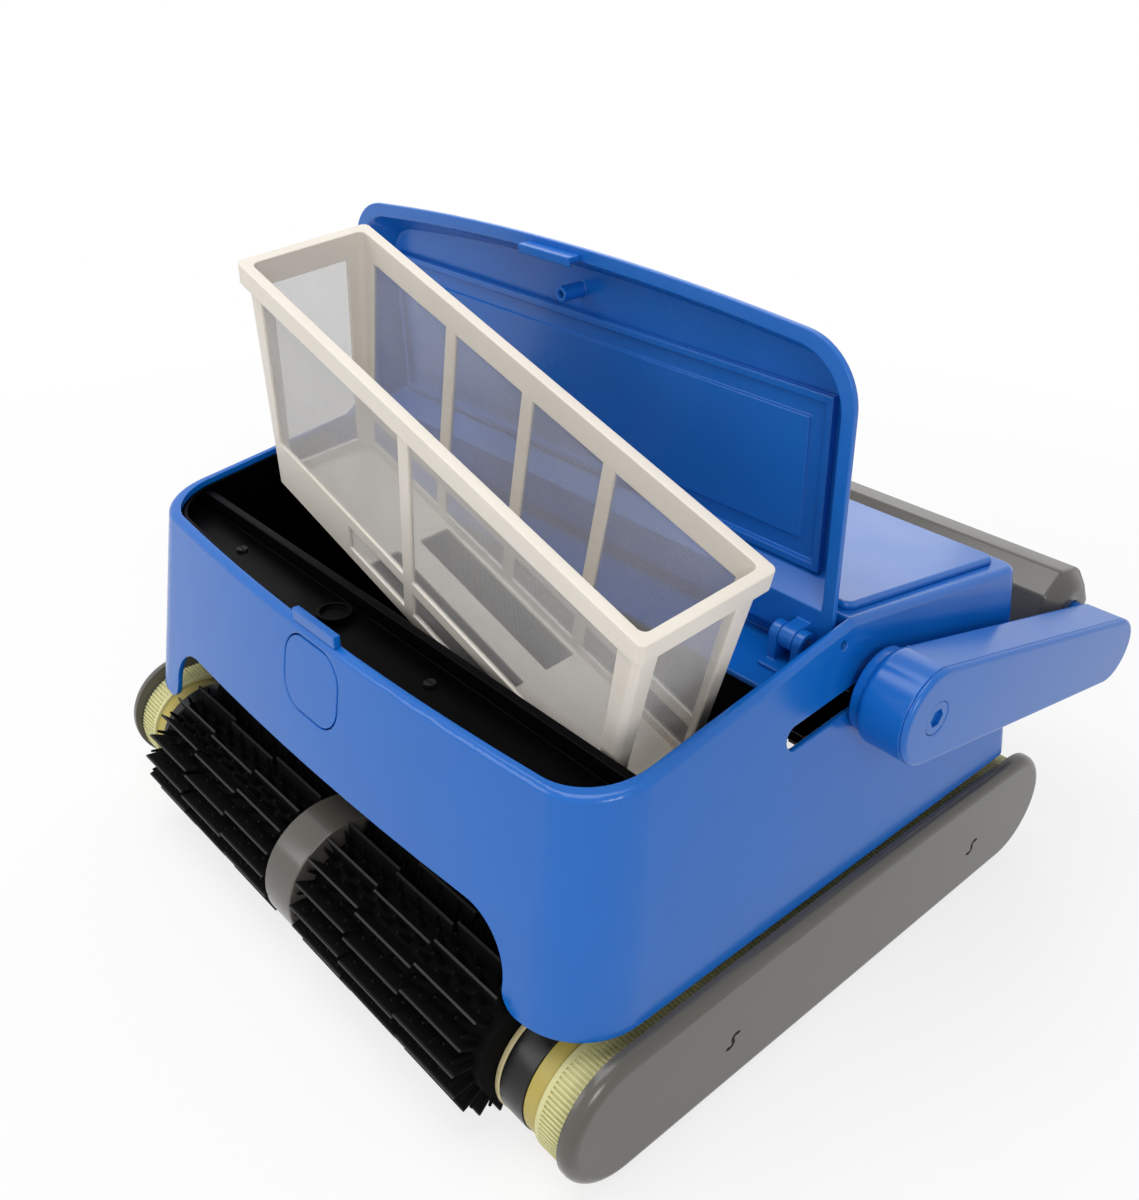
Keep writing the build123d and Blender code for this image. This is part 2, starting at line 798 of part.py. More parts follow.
def track_path(radius):
    """The stadium that a track follows round its two wheels."""
    return Pos(0, axle_z) * SlotCenterToCenter(wheelbase, 2 * radius)


def track_groove_places():
    """Position and heading of each groove, evenly spaced round the track."""
    straight = wheelbase
    bend = math.pi * track_outer_r
    pitch = (2 * straight + 2 * bend) / track_groove_count
    for index in range(track_groove_count):
        run = (index + 0.5) * pitch
        if run < straight:
            yield -axle_y + run, axle_z - track_outer_r, 0.0
        elif run < straight + bend:
            turn = (run - straight) / track_outer_r
            yield (axle_y + track_outer_r * math.sin(turn), axle_z - track_outer_r * math.cos(turn),
                   math.degrees(turn))
        elif run < 2 * straight + bend:
            yield axle_y - (run - straight - bend), axle_z + track_outer_r, 0.0
        else:
            turn = (run - 2 * straight - bend) / track_outer_r
            yield (-axle_y - track_outer_r * math.sin(turn), axle_z + track_outer_r * math.cos(turn),
                   math.degrees(turn))


def track(side):
    """Pale rubber track: a closed loop with grooves across it."""
    face = track_path(track_outer_r) - track_path(track_inner_r)
    notch = Rectangle(track_groove_width, 2 * track_groove_depth)
    cuts = [Pos(y, z) * Rot(0, 0, turn) * notch for y, z, turn in track_groove_places()]
    face = face - cuts
    return on_side(Pos(0, drive_y, 0) * prism_x(face, track_inner_x, track_outer_x), side)


def gear_points(teeth, outer_r, root_r, tooth_width):
    """The outline of an involute gear with one tooth on +X."""
    pitch_r = gear_module * teeth / 2
    base_r = pitch_r * math.cos(pressure_angle)
    start_r = max(root_r, base_r)
    at_pitch = tooth_width / (2 * pitch_r) + math.tan(pressure_angle) - pressure_angle

    def half_angle(radius):
        slope = math.acos(min(1.0, base_r / radius))
        return at_pitch - (math.tan(slope) - slope)

    flank = [(root_r, half_angle(start_r))]
    for step in range(flank_steps):
        radius = start_r + (outer_r - start_r) * step / (flank_steps - 1)
        if radius > root_r:
            flank.append((radius, half_angle(radius)))
    points = []
    for tooth in range(teeth):
        middle = 2 * math.pi * tooth / teeth
        for radius, angle in flank:
            points.append((radius * math.cos(middle - angle), radius * math.sin(middle - angle)))
        for radius, angle in reversed(flank):
            points.append((radius * math.cos(middle + angle), radius * math.sin(middle + angle)))
    return points


def gear_face(teeth, outer_r, root_r, tooth_width, heading):
    """A gear outline as a face, turned so that a tooth points along heading."""
    face = make_face(Polyline(*gear_points(teeth, outer_r, root_r, tooth_width), close=True))
    return Rot(0, 0, math.degrees(heading)) * face


def mesh_heading(end):
    """The direction from a wheel's axle to the brush that it drives, at the front or the rear."""
    return math.atan2(brush_rise, end * (brush_y - axle_y))


def wheel_hub(side, end):
    """Tan wheel: a drum inside the track, a shoulder, a web and a boss on the axle."""
    y = drive_y + end * axle_y
    drum = rod_x(drum_r, hub_outer_x, track_outer_x, y, axle_z)
    shoulder = rod_x(hub_r, hub_inner_x, hub_outer_x, y, axle_z)
    wheel = drum + shoulder
    wheel -= rod_x(drum_r - wheel_wall, hub_inner_x - 1, track_outer_x + 1, y, axle_z)
    web_outer_x = web_inner_x + wheel_web
    wheel += rod_x(drum_r - wheel_wall, web_inner_x, web_outer_x, y, axle_z)
    wheel += rod_x(hub_boss_r, web_inner_x, web_inner_x + hub_boss_length, y, axle_z)
    wheel -= rod_x(axle_r + running_gap, web_inner_x - 1, track_outer_x + 1, y, axle_z)
    return on_side(wheel, side)


def ring_gear(side, end):
    """Black ring beside the hub, with gear teeth inside it."""
    y = drive_y + end * axle_y
    pitch_r = gear_module * ring_teeth / 2
    space = math.pi * gear_module / 2 + gear_backlash / 2
    tip_r = pitch_r - ring_addendum * gear_module
    teeth = gear_face(ring_teeth, pitch_r + gear_dedendum * gear_module, tip_r, space, mesh_heading(end))
    ring = rod_x(ring_r, ring_inner_x, hub_inner_x, y, axle_z)
    ring -= prism_x(Pos(y, axle_z) * teeth, ring_inner_x - 1, hub_inner_x + 1)
    return on_side(ring, side)


def wheel_flange(side, end):
    """Cream ring that closes the wheel beside the brush."""
    y = drive_y + end * axle_y
    flange = rod_x(flange_r, flange_inner_x, ring_inner_x, y, axle_z)
    return on_side(flange - rod_x(flange_bore_r, flange_inner_x - 1, ring_inner_x + 1, y, axle_z), side)


def wheel_axles():
    """Four stub axles fixed in the side panels, each with a crank that carries the end of a brush."""
    axles = []
    for side in (1, -1):
        for end in (-1, 1):
            y = drive_y + end * axle_y
            crank_outer_x = hub_inner_x + fit_gap + crank_width
            axle = rod_x(axle_r, crank_outer_x - crank_width, panel_inner_x + axle_depth_in_panel, y, axle_z)
            collar_x = web_inner_x + hub_boss_length + fit_gap
            axle += rod_x(axle_collar_r, collar_x, panel_inner_x, y, axle_z)
            crank = SlotCenterToCenter(gear_offset, 2 * crank_r)
            turn = math.degrees(mesh_heading(end))
            pin_y = drive_y + end * brush_y
            middle = Pos((y + pin_y) / 2, (axle_z + brush_z) / 2) * Rot(0, 0, turn)
            axle += prism_x(middle * crank, crank_outer_x - crank_width, crank_outer_x)
            pin_x = ring_inner_x + crank_pin_gap + fit_gap
            axle += rod_x(crank_pin_r, pin_x, crank_outer_x, pin_y, brush_z)
            axles.append(on_side(axle, side))
    return Compound(axles)


def brush(side, end):
    """Half a brush: a hollow core, lengthwise fins, rows of nubs, a neck and a pinion."""
    y = drive_y + end * brush_y
    x0 = bridge_half_width + brush_end_gap
    x1 = flange_inner_x - brush_end_gap
    core = rod_x(brush_core_r, x0, x1, y, brush_z)
    plug = bridge_pin_length + 2
    core -= rod_x(brush_core_r - brush_core_wall, x0 + plug, x1 - brush_core_wall, y, brush_z)
    pinion_outer_x = hub_inner_x - fit_gap / 2
    core += rod_x(brush_neck_r, x1 - brush_core_wall, ring_inner_x + 1, y, brush_z)
    pitch_r = gear_module * pinion_teeth / 2
    tooth = math.pi * gear_module / 2 - gear_backlash / 2
    outline = gear_face(
        pinion_teeth,
        pitch_r + pinion_addendum * gear_module,
        pitch_r - gear_dedendum * gear_module,
        tooth,
        mesh_heading(end),
    )
    core += prism_x(Pos(y, brush_z) * outline, ring_inner_x + 1, pinion_outer_x)
    fins = []
    sink = 1.0
    fin_end = min(x1, arch_half_width - brush_arch_gap)
    pitch = (fin_end - x0) / brush_nub_columns
    for index in range(brush_fin_count):
        turn = 360.0 * index / brush_fin_count
        at_axis = Pos(0, y, brush_z) * Rot(turn, 0, 0)
        half = brush_fin_thickness / 2
        fins.append(at_axis * block((x0, fin_end), (-half, half), (brush_core_r - sink, brush_r)))
        between = Pos(0, y, brush_z) * Rot(turn + 180.0 / brush_fin_count, 0, 0)
        for column in range(brush_nub_columns):
            x = x0 + (column + 0.5) * pitch
            nub_x = (x - brush_nub_size / 2, x + brush_nub_size / 2)
            nub_y = (-brush_nub_size / 2, brush_nub_size / 2)
            fins.append(between * block(nub_x, nub_y, (brush_core_r - sink, brush_nub_r)))
    core = core + fins
    bore_r = crank_pin_r + running_gap
    core -= rod_x(bore_r, x0 - 1, x0 + bridge_pin_length + 1, y, brush_z)
    core -= rod_x(bore_r, ring_inner_x + crank_pin_gap, pinion_outer_x + 1, y, brush_z)
    return on_side(core, side)


def brush_bridge(end):
    """Grey drum between two brush halves, with a pin on each side and an arm to the bottom plate."""
    y = drive_y + end * brush_y
    drum = rod_x(bridge_r, -bridge_half_width, bridge_half_width, y, brush_z)
    pin_x = bridge_half_width + brush_end_gap + bridge_pin_length
    drum += rod_x(crank_pin_r, -pin_x, pin_x, y, brush_z)
    inner_y = plate_half_length - bridge_foot
    arm_y = (inner_y, y) if end > 0 else (y, -inner_y)
    top_z = plate_bottom_z + plate_thickness
    arm = block((-bridge_half_width, bridge_half_width), arm_y, (top_z, top_z + bridge_arm_height))
    arm -= block((-far, far), (well_front_y - fit_gap, 0), (well_bottom_z - fit_gap, far))
    return drum + arm


def inlet_gap(y, grow):
    """One inlet's outline in the bottom plate."""
    x = inlet_length / 2 + grow
    return (-x, x), (y - inlet_width / 2 - grow, y + inlet_width / 2 + grow)


def bottom_plate():
    """Black bottom plate with two inlets and posts that carry the chamber."""
    top_z = plate_bottom_z + plate_thickness
    length = (-plate_half_length, plate_half_length)
    plate = block((-plate_half_width, plate_half_width), length, (plate_bottom_z, top_z))
    for y in inlet_ys:
        x_span, y_span = inlet_gap(y, 0)
        plate -= block(x_span, y_span, (plate_bottom_z - 1, top_z + 1))
    for y in inlet_ys:
        axis_y = flap_axis_y(y)
        ear = block(
            flap_ear_x(), (axis_y - flap_ear_r, axis_y + flap_ear_r), (top_z, flap_axis_z() + flap_ear_r)
        )
        ear -= rod_x(flap_pin_r, 0, far, axis_y, flap_axis_z())
        for side in (1, -1):
            plate += rod_z(post_r, side * post_x, y, top_z, well_bottom_z)
            plate += on_side(ear, side)
    for x, y, z in plate_screws():
        plate -= rod_z(screw_shank_r, x, y, z - plate_thickness, z)
    return plate


def flap_ear_x():
    """Where the ears that hold a flap's pin stand."""
    inner = inlet_length / 2 + flap_margin + fit_gap
    return inner, inner + flap_ear_width


def flap_axis_y(y):
    """The hinge line of an inlet flap, behind its inlet."""
    return y + inlet_width / 2 + flap_margin


def flap_axis_z():
    """The height of a flap's hinge line."""
    return plate_bottom_z + plate_thickness + fit_gap + 2 * flap_pin_r


def inlet_flap(y):
    """A flap that lies over an inlet and swings up on a pin along its rear edge."""
    low = plate_bottom_z + plate_thickness + fit_gap
    x_span = inlet_gap(y, flap_margin)[0]
    sheet = block(x_span, (y - inlet_width / 2 - flap_margin, flap_axis_y(y)), (low, low + flap_thickness))
    barrel = rod_x(2 * flap_pin_r, x_span[0], x_span[1], flap_axis_y(y), flap_axis_z())
    return sheet + barrel - rod_x(flap_pin_r + running_gap, -far, far, flap_axis_y(y), flap_axis_z())


def flap_pins():
    """The two pins that the inlet flaps swing on."""
    reach = flap_ear_x()[1]
    return Compound([rod_x(flap_pin_r, -reach, reach, flap_axis_y(y), flap_axis_z()) for y in inlet_ys])


def side_frame(side):
    """Open box inside a track that joins the bottom plate to a side panel."""
    low = plate_bottom_z + plate_thickness
    y = (-frame_half_length, frame_half_length)
    frame = block((plate_half_width, panel_inner_x), y, (plate_bottom_z, frame_top_z))
    hollow_y = (-frame_half_length + frame_wall, frame_half_length - frame_wall)
    hollow_x = (plate_half_width + frame_wall, panel_inner_x - frame_wall)
    frame -= block(hollow_x, hollow_y, (low, far))
    notch = roller_r + 2.0
    frame -= block((track_inner_x - 2, panel_inner_x), (roller_y - notch, roller_y + notch),
                   (roller_z() - notch, far))
    return on_side(frame, side)


def roller_z():
    """The height of a drive roller, just under the top run of its track."""
    return axle_z + track_inner_r - fit_gap - roller_r


def drive_motor(side):
    """Sealed drive motor in a side frame, with the shaft that a drive roller turns on."""
    low = plate_bottom_z + plate_thickness
    x = (plate_half_width + frame_wall, track_inner_x - 2.5)
    y = (roller_y - motor_length / 2, roller_y + motor_length / 2)
    motor = block(x, y, (low, low + motor_height))
    motor += block(x, (roller_y - 6, roller_y + 6), (low, roller_z() + 6))
    motor += rod_x(roller_shaft_r, x[1], track_outer_x - 1, roller_y, roller_z())
    return on_side(motor, side)


def drive_roller(side):
    """Roller that drives a track from inside."""
    roller = rod_x(roller_r, track_inner_x, track_outer_x, roller_y, roller_z())
    return on_side(roller - rod_x(roller_shaft_r + running_gap, 0, far, roller_y, roller_z()), side)


def pump_rear_y():
    """The rear end of the pump duct, just inside the louvres."""
    return rear_wall_y(pump_z + pump_r) - shell_wall - fit_gap


def pump_duct():
    """Duct from the chamber to the rear louvres, with the ribs that hold the pump motor."""
    y0, y1 = chamber_rear_y, pump_rear_y()
    duct = rod_y(pump_r, 0, y0, y1, pump_z) - rod_y(pump_r - pump_wall, 0, y0 - 1, y1 + 1, pump_z)
    rib_y = (motor_front_y(), motor_front_y() + pump_motor_length)
    reach = pump_r - pump_wall / 2
    half = pump_rib / 2
    ribs = block((-reach, reach), rib_y, (pump_z - half, pump_z + half))
    ribs += block((-half, half), rib_y, (pump_z - reach, pump_z + reach))
    ribs -= rod_y(pump_motor_r, 0, rib_y[0] - 1, rib_y[1] + 1, pump_z)
    foot_x = (-pump_foot_width / 2, pump_foot_width / 2)
    foot = block(foot_x, pump_foot_y, (plate_bottom_z + plate_thickness, pump_z))
    return duct + ribs + (foot - rod_y(pump_r - pump_wall, 0, y0, y1, pump_z))


def motor_front_y():
    """The front end of the pump motor in its duct."""
    return chamber_rear_y + pump_motor_setback


def pump_motor():
    """Sealed pump motor in the middle of the duct, with the shaft for the impeller."""
    y0 = motor_front_y()
    y1 = y0 + pump_motor_length
    motor = rod_y(pump_motor_r, 0, y0, y1, pump_z)
    return motor + rod_y(impeller_shaft_r, 0, y1, y1 + impeller_gap + impeller_length, pump_z)


def impeller():
    """Axial impeller behind the motor."""
    y0 = motor_front_y() + pump_motor_length + impeller_gap
    y1 = y0 + impeller_length
    wheel = rod_y(impeller_hub_r, 0, y0, y1, pump_z)
    for index in range(impeller_blades):
        blade = Box(impeller_blade, impeller_length, impeller_r)
        blade = Pos(0, 0, impeller_r / 2) * Rot(0, 0, impeller_pitch) * blade
        wheel += Pos(0, (y0 + y1) / 2, pump_z) * Rot(0, 360 / impeller_blades * index, 0) * blade
    trim = rod_y(impeller_r, 0, y0, y1, pump_z)
    return (wheel & trim) - rod_y(impeller_shaft_r + running_gap, 0, y0 - 1, y1 + 1, pump_z)


def cable_gland():
    """Gland for a cable: a block in a notch of the left wall's lower edge, a flange and a round nose."""
    wall_x = side_wall_x(gland_z)
    half = gland_width / 2
    inner = block(
        (wall_x - gland_reach, wall_x + gland_lip),
        (gland_y - half + running_gap, gland_y + half - running_gap),
        (shell_bottom_z, gland_top_z - running_gap),
    )
    flange = block(
        (wall_x - gland_lip, wall_x + gland_lip),
        (gland_y - half - gland_lip, gland_y + half + gland_lip),
        (shell_bottom_z, gland_top_z + gland_lip),
    )
    nose = rod_x(gland_nose_r, wall_x, wall_x + gland_reach, gland_y, gland_z)
    gland = inner + (flange - body_block(0)) + nose
    gland -= rod_x(gland_bore_r, 0, far, gland_y, gland_z)
    return on_side(gland, -1)


def handle_profile():
    """The side view of a handle arm: a round-ended bar that tapers from the pivot to the float."""
    run = math.hypot(arm_reach_y, arm_drop_z)
    lean = math.asin((arm_r - arm_end_r) / run)
    front_x, front_y = arm_r * math.sin(lean), arm_r * math.cos(lean)
    rear_x, rear_y = run + arm_end_r * math.sin(lean), arm_end_r * math.cos(lean)
    outline = [
        ThreePointArc((front_x, front_y), (-arm_r, 0), (front_x, -front_y)),
        Line((front_x, -front_y), (rear_x, -rear_y)),
        ThreePointArc((rear_x, -rear_y), (run + arm_end_r, 0), (rear_x, rear_y)),
        Line((rear_x, rear_y), (front_x, front_y)),
    ]
    return Pos(pivot_y, pivot_z) * Rot(0, 0, -math.degrees(arm_tilt)) * make_face(outline)


def handle_arm(side):
    """Blue handle arm with a boss on the pivot pin and a spigot in the float bar."""
    cover_x = arm_outer_x - arm_cover_thickness
    arm = prism_x(handle_profile(), arm_inner_x, cover_x)
    arm = fillet(arm.faces().sort_by(Axis.X)[0].edges(), arm_edge_round)
    arm += rod_x(arm_boss_r, arm_boss_x, arm_inner_x + arm_edge_round, pivot_y, pivot_z)
    arm += rod_x(spigot_r, arm_inner_x - spigot_length, arm_inner_x + arm_edge_round, bar_y, bar_z)
    arm -= rod_x(slot_half_height - fit_gap + running_gap, 0, far, pivot_y, pivot_z)
    return on_side(arm, side)


def arm_cover(side):
    """Outer cover of a handle arm, with a hole for the pivot bolt."""
    cover = prism_x(handle_profile(), arm_outer_x - arm_cover_thickness, arm_outer_x)
    cover = fillet(cover.faces().sort_by(Axis.X)[-1].edges(), arm_cover_thickness - 0.5)
    return on_side(cover - rod_x(bolt_head_r + fit_gap, 0, far, pivot_y, pivot_z), side)


def pin_end_x():
    """The outer end of a pivot pin, just proud of its arm so that the arm turns freely."""
    return arm_outer_x - arm_cover_thickness + running_gap


def arm_bolts():
    """Round-headed bolts with a hexagon socket on the ends of the pivot pins."""
    bolt = rod_x(bolt_head_r, pin_end_x(), arm_outer_x - fit_gap, pivot_y, pivot_z)
    socket = Pos(pivot_y, pivot_z) * RegularPolygon(bolt_hex_r, 6)
    bolt -= prism_x(socket, arm_outer_x - fit_gap - bolt_recess_depth, arm_outer_x)
    return Compound([on_side(bolt, side) for side in (1, -1)])


def handle_pins():
    """Pivot pins that slide in the shell's slots, each with a head inside the wall."""
    pin_r = slot_half_height - fit_gap
    head_outer_x = side_wall_x(ridge_z) - shell_wall - fit_gap
    pin = rod_x(pin_r, head_outer_x - pin_head_width, pin_end_x(), pivot_y, pivot_z)
    pin += rod_x(pin_head_r, head_outer_x - pin_head_width, head_outer_x, pivot_y, pivot_z)
    return Compound([on_side(pin, side) for side in (1, -1)])


def handle_bar():
    """Grey eight-sided float bar between the arms."""
    section = chamfer(Rectangle(bar_size, bar_size).vertices(), bar_corner)
    half_length = arm_inner_x - bar_end_gap
    place = Pos(bar_y, bar_z) * Rot(0, 0, -math.degrees(arm_tilt))
    bar = prism_x(place * section, -half_length, half_length)
    ends = bar.faces().filter_by(Axis.X)
    bar = chamfer(ends.edges(), bar_end_chamfer)
    for side in (1, -1):
        hole = rod_x(spigot_r, arm_inner_x - spigot_length, far, bar_y, bar_z)
        bar -= on_side(hole, side)
    return bar


def release_button():
    """Push button flush in the front wall, with a retaining lip and a stem in its guide."""
    behind = shell_wall + fit_gap
    face = button_prism(0, -far, 0) & (body_block(0) - body_block(behind))
    lip = button_prism(button_lip, -far, 0)
    lip &= body_block(behind) - body_block(behind + button_lip_thickness)
    lip &= block((-far, far), (-far, 0), (0, shelf_z - fit_gap))
    stem_end = basin_front_y - button_travel - fit_gap
    stem = rod_y(button_stem_r, 0, front_wall_y(button_z) + shell_wall, stem_end, button_z)
    return face + lip + stem


def latch_keeper():
    """Blue keeper on the front rim that the lid's tab meets."""
    x = (-keeper_width / 2, keeper_width / 2)
    y = (opening_front_y - keeper_depth, opening_front_y)
    top = roof_z(opening_front_y)
    return block(x, y, (top - keeper_depth, top + keeper_height)) - roof(0)


def shelf_screws():
    """Where the screws on the chamber's front shelf go in."""
    return [(x, plug_place[1], shelf_z + chamber_wall) for x in shelf_screw_xs]


def plate_screws():
    """Where the screws at the sides of the bottom plate go in."""
    x = plate_half_width - 2 * screw_head_r
    top = plate_bottom_z + plate_thickness
    return [(side * x, y, top) for side in (1, -1) for y in plate_screw_ys]


def screws():
    """Slotted screws on the front shelf and the bottom plate."""
    pieces = []
    for places, depth in ((shelf_screws(), chamber_wall), (plate_screws(), plate_thickness)):
        for x, y, z in places:
            screw = rod_z(screw_head_r, x, y, z, z + screw_head_height)
            half = screw_slot_width / 2
            slot_z = (z + screw_head_height / 2, far)
            screw -= block((x - far, x + far), (y - half, y + half), slot_z)
            pieces.append(screw + rod_z(screw_shank_r, x, y, z - depth, z))
    return Compound(pieces)


def build():
    """Every node by name."""
    nodes = {
        "main_shell": main_shell(),
        "rear_deck": rear_deck(),
        "filter_chamber": filter_chamber(),
        "chamber_partition": chamber_partition(),
        "chamber_plug": chamber_plug(),
        "hinge_brackets": hinge_brackets(),
        "lid_hinge_pins": lid_hinge_pins(),
        "lid_shell": lid_shell(),
        "lid_liner": lid_liner(),
        "lid_latch_tab": lid_latch_tab(),
        "basket_frame": basket_frame(),
        "basket_mesh": basket_mesh_panels(),
        "wheel_axles": wheel_axles(),
        "bottom_plate": bottom_plate(),
        "flap_pins": flap_pins(),
        "pump_duct": pump_duct(),
        "pump_motor": pump_motor(),
        "impeller": impeller(),
        "cable_gland": cable_gland(),
        "handle_pins": handle_pins(),
        "arm_bolts": arm_bolts(),
        "handle_bar": handle_bar(),
        "release_button": release_button(),
        "latch_keeper": latch_keeper(),
        "screws": screws(),
    }
    for index, name in enumerate(("front", "rear")):
        nodes[f"inlet_flap_{name}"] = inlet_flap(inlet_ys[index])
    for name, side in (("right", 1), ("left", -1)):
        nodes[f"side_panel_{name}"] = side_panel(side)
        nodes[f"track_{name}"] = track(side)
        nodes[f"side_frame_{name}"] = side_frame(side)
        nodes[f"drive_motor_{name}"] = drive_motor(side)
        nodes[f"drive_roller_{name}"] = drive_roller(side)
        nodes[f"handle_arm_{name}"] = handle_arm(side)
        nodes[f"arm_cover_{name}"] = arm_cover(side)
        for place, end in (("front", -1), ("rear", 1)):
            nodes[f"wheel_hub_{place}_{name}"] = wheel_hub(side, end)
            nodes[f"ring_gear_{place}_{name}"] = ring_gear(side, end)
            nodes[f"wheel_flange_{place}_{name}"] = wheel_flange(side, end)
            nodes[f"brush_{place}_{name}"] = brush(side, end)
    for place, end in (("front", -1), ("rear", 1)):
        nodes[f"brush_bridge_{place}"] = brush_bridge(end)
    return nodes


def main():
    """Move every node to the origin under the middle of the object and write it."""
    os.makedirs("parts", exist_ok=True)
    for name, shape in build().items():
        export_step(Pos(0, -origin_y, 0) * shape, os.path.join("parts", name + ".step"))
    axis = basket_axis()
    print("origin shift", -origin_y)
    print("lid hinge", hinge_y - origin_y, hinge_z)
    print("basket axis", axis.position.X, axis.position.Y - origin_y, axis.position.Z)
    print("handle pivot", pivot_y - origin_y, pivot_z, "slot direction", math.cos(math.atan(slot_rise)),
          math.sin(math.atan(slot_rise)))
    print("wheels", axle_y, axle_z, "brushes", brush_y, brush_z, "roller", roller_y, roller_z())
    print("flaps", [flap_axis_y(y) - origin_y for y in inlet_ys], flap_axis_z())


main()
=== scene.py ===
# %% [markdown]
# # A tracked pool cleaner, dressed for its picture
# The frame holds the exact solids: shell, lid, basket, tracks, wheels, brushes and handle. This lesson
# rounds their moulded edges, builds the finely ribbed and woven pieces that the solids only block out,
# and gives each surface a finish. Lengths are written in millimetres, and MM turns them to metres.

# %% Load the frame
import json
import math

import bmesh
import bpy
from mathutils import Matrix, Vector


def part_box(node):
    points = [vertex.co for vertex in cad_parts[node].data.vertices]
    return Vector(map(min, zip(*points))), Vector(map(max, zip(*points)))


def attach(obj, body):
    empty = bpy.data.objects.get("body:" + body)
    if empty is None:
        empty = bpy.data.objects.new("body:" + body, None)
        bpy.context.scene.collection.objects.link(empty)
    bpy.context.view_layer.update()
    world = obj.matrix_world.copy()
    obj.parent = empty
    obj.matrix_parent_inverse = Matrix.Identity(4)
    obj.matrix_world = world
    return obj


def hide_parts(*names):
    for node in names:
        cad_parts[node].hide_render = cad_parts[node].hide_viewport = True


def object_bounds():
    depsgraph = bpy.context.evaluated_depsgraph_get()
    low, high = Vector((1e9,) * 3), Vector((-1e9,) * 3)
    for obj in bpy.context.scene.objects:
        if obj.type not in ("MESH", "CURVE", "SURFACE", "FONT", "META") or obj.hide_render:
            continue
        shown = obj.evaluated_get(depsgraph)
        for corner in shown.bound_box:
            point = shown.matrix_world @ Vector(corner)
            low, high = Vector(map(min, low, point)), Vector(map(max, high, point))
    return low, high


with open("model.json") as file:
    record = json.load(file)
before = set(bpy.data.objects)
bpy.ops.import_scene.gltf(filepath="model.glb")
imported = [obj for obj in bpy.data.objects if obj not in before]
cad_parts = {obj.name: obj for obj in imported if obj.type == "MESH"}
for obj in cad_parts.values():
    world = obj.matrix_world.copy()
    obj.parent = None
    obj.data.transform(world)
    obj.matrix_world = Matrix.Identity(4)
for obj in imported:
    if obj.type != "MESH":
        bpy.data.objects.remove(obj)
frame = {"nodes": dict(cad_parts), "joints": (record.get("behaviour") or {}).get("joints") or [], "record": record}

MM = 0.001
cad_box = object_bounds()
nodes = frame["nodes"]
record = frame["record"]
slot_of = {part["node"]: part["material_slot"] for part in record["subparts"]}
bodies = record["behaviour"]["bodies"]
body_of = {node: body for body, members in bodies.items() for node in members}
scene = bpy.context.scene
scene.view_settings.view_transform = "Standard"
for name in ("Cube", "Light", "Camera"):
    if name in bpy.data.objects:
        bpy.data.objects.remove(bpy.data.objects[name])

# %% [markdown]
# ## Camera
# The picture was taken from the front right, about 30 degrees above the floor, from less than a metre
# away, so the near corner looms. A camera could be aimed with a Track To constraint, but its place,
# heading and small roll are known, so its axes are written straight into its matrix.

# %% Camera
camera_place = Vector((446.9, -414.0, 487.8)) * MM
heading, rise, roll = (math.radians(angle) for angle in (46.70, 29.98, 1.29))
back = Vector((math.sin(heading) * math.cos(rise), -math.cos(heading) * math.cos(rise), math.sin(rise)))
level = Vector((math.cos(heading), math.sin(heading), 0.0))
above = back.cross(level)
right = level * math.cos(roll) + above * math.sin(roll)
up = above * math.cos(roll) - level * math.sin(roll)

camera = bpy.data.objects.new("camera", bpy.data.cameras.new("camera"))
scene.collection.objects.link(camera)
camera.matrix_world = Matrix.Translation(camera_place) @ Matrix((right, up, back)).transposed().to_4x4()
camera.data.lens = 35.36
camera.data.shift_x = -0.0259
camera.data.shift_y = 0.0065
camera.data.clip_start = 0.01
scene.camera = camera
print("camera at", [round(c, 3) for c in camera_place], "lens", camera.data.lens)

# %% [markdown]
# ## Helpers for finishes
# Colours are picked as sRGB hex values, but shaders work in linear light, so one function turns them.
# One more adds a node, sets its sockets and links what feeds it, which keeps each finish short. A
# third blends two colours.

# %% Colour and node helpers
def linear(code):
    """An sRGB hex colour as linear RGBA."""
    channels = [int(code[i:i + 2], 16) / 255 for i in (1, 3, 5)]
    return [c / 12.92 if c <= 0.04045 else ((c + 0.055) / 1.055) ** 2.4 for c in channels] + [1.0]


def add_node(tree, kind, settings=None, links=None):
    """Adds a node, sets its properties or sockets, and links the given outputs into it."""
    made = tree.nodes.new(kind)
    for name, value in (settings or {}).items():
        if name in made.inputs:
            made.inputs[name].default_value = value
        else:
            setattr(made, name, value)
    for name, source in (links or {}).items():
        tree.links.new(source, made.inputs[name])
    return made


def mix_colours(tree, factor, first, second):
    """The output of a node that blends two hex colours; its sockets share names, so they go by number."""
    colour_a, colour_b, colour_result = 6, 7, 2
    mix = add_node(tree, "ShaderNodeMix", {"data_type": "RGBA"}, {"Factor": factor})
    mix.inputs[colour_a].default_value = linear(first)
    mix.inputs[colour_b].default_value = linear(second)
    return mix.outputs[colour_result]


def new_finish(name):
    """A new material of that name and its emptied node tree."""
    material = bpy.data.materials.new(name)
    material.use_nodes = True
    material.node_tree.nodes.clear()
    return material, material.node_tree


def per_mm(size):
    """A texture scale at which one feature is about that many millimetres wide."""
    return 1.0 / (size * MM)


# %% [markdown]
# ## Moulded plastics
# Most of the cleaner is injection moulded: glossy ABS for the shell, polypropylene for the tub and the
# basket, polished ABS for the side panels. They differ in colour and polish but share a make-up: a slow
# drift of colour from the melt, patches that are a little more or less polished, and a fine skin from
# the tool's surface. So one function makes them all, fed with real sizes.

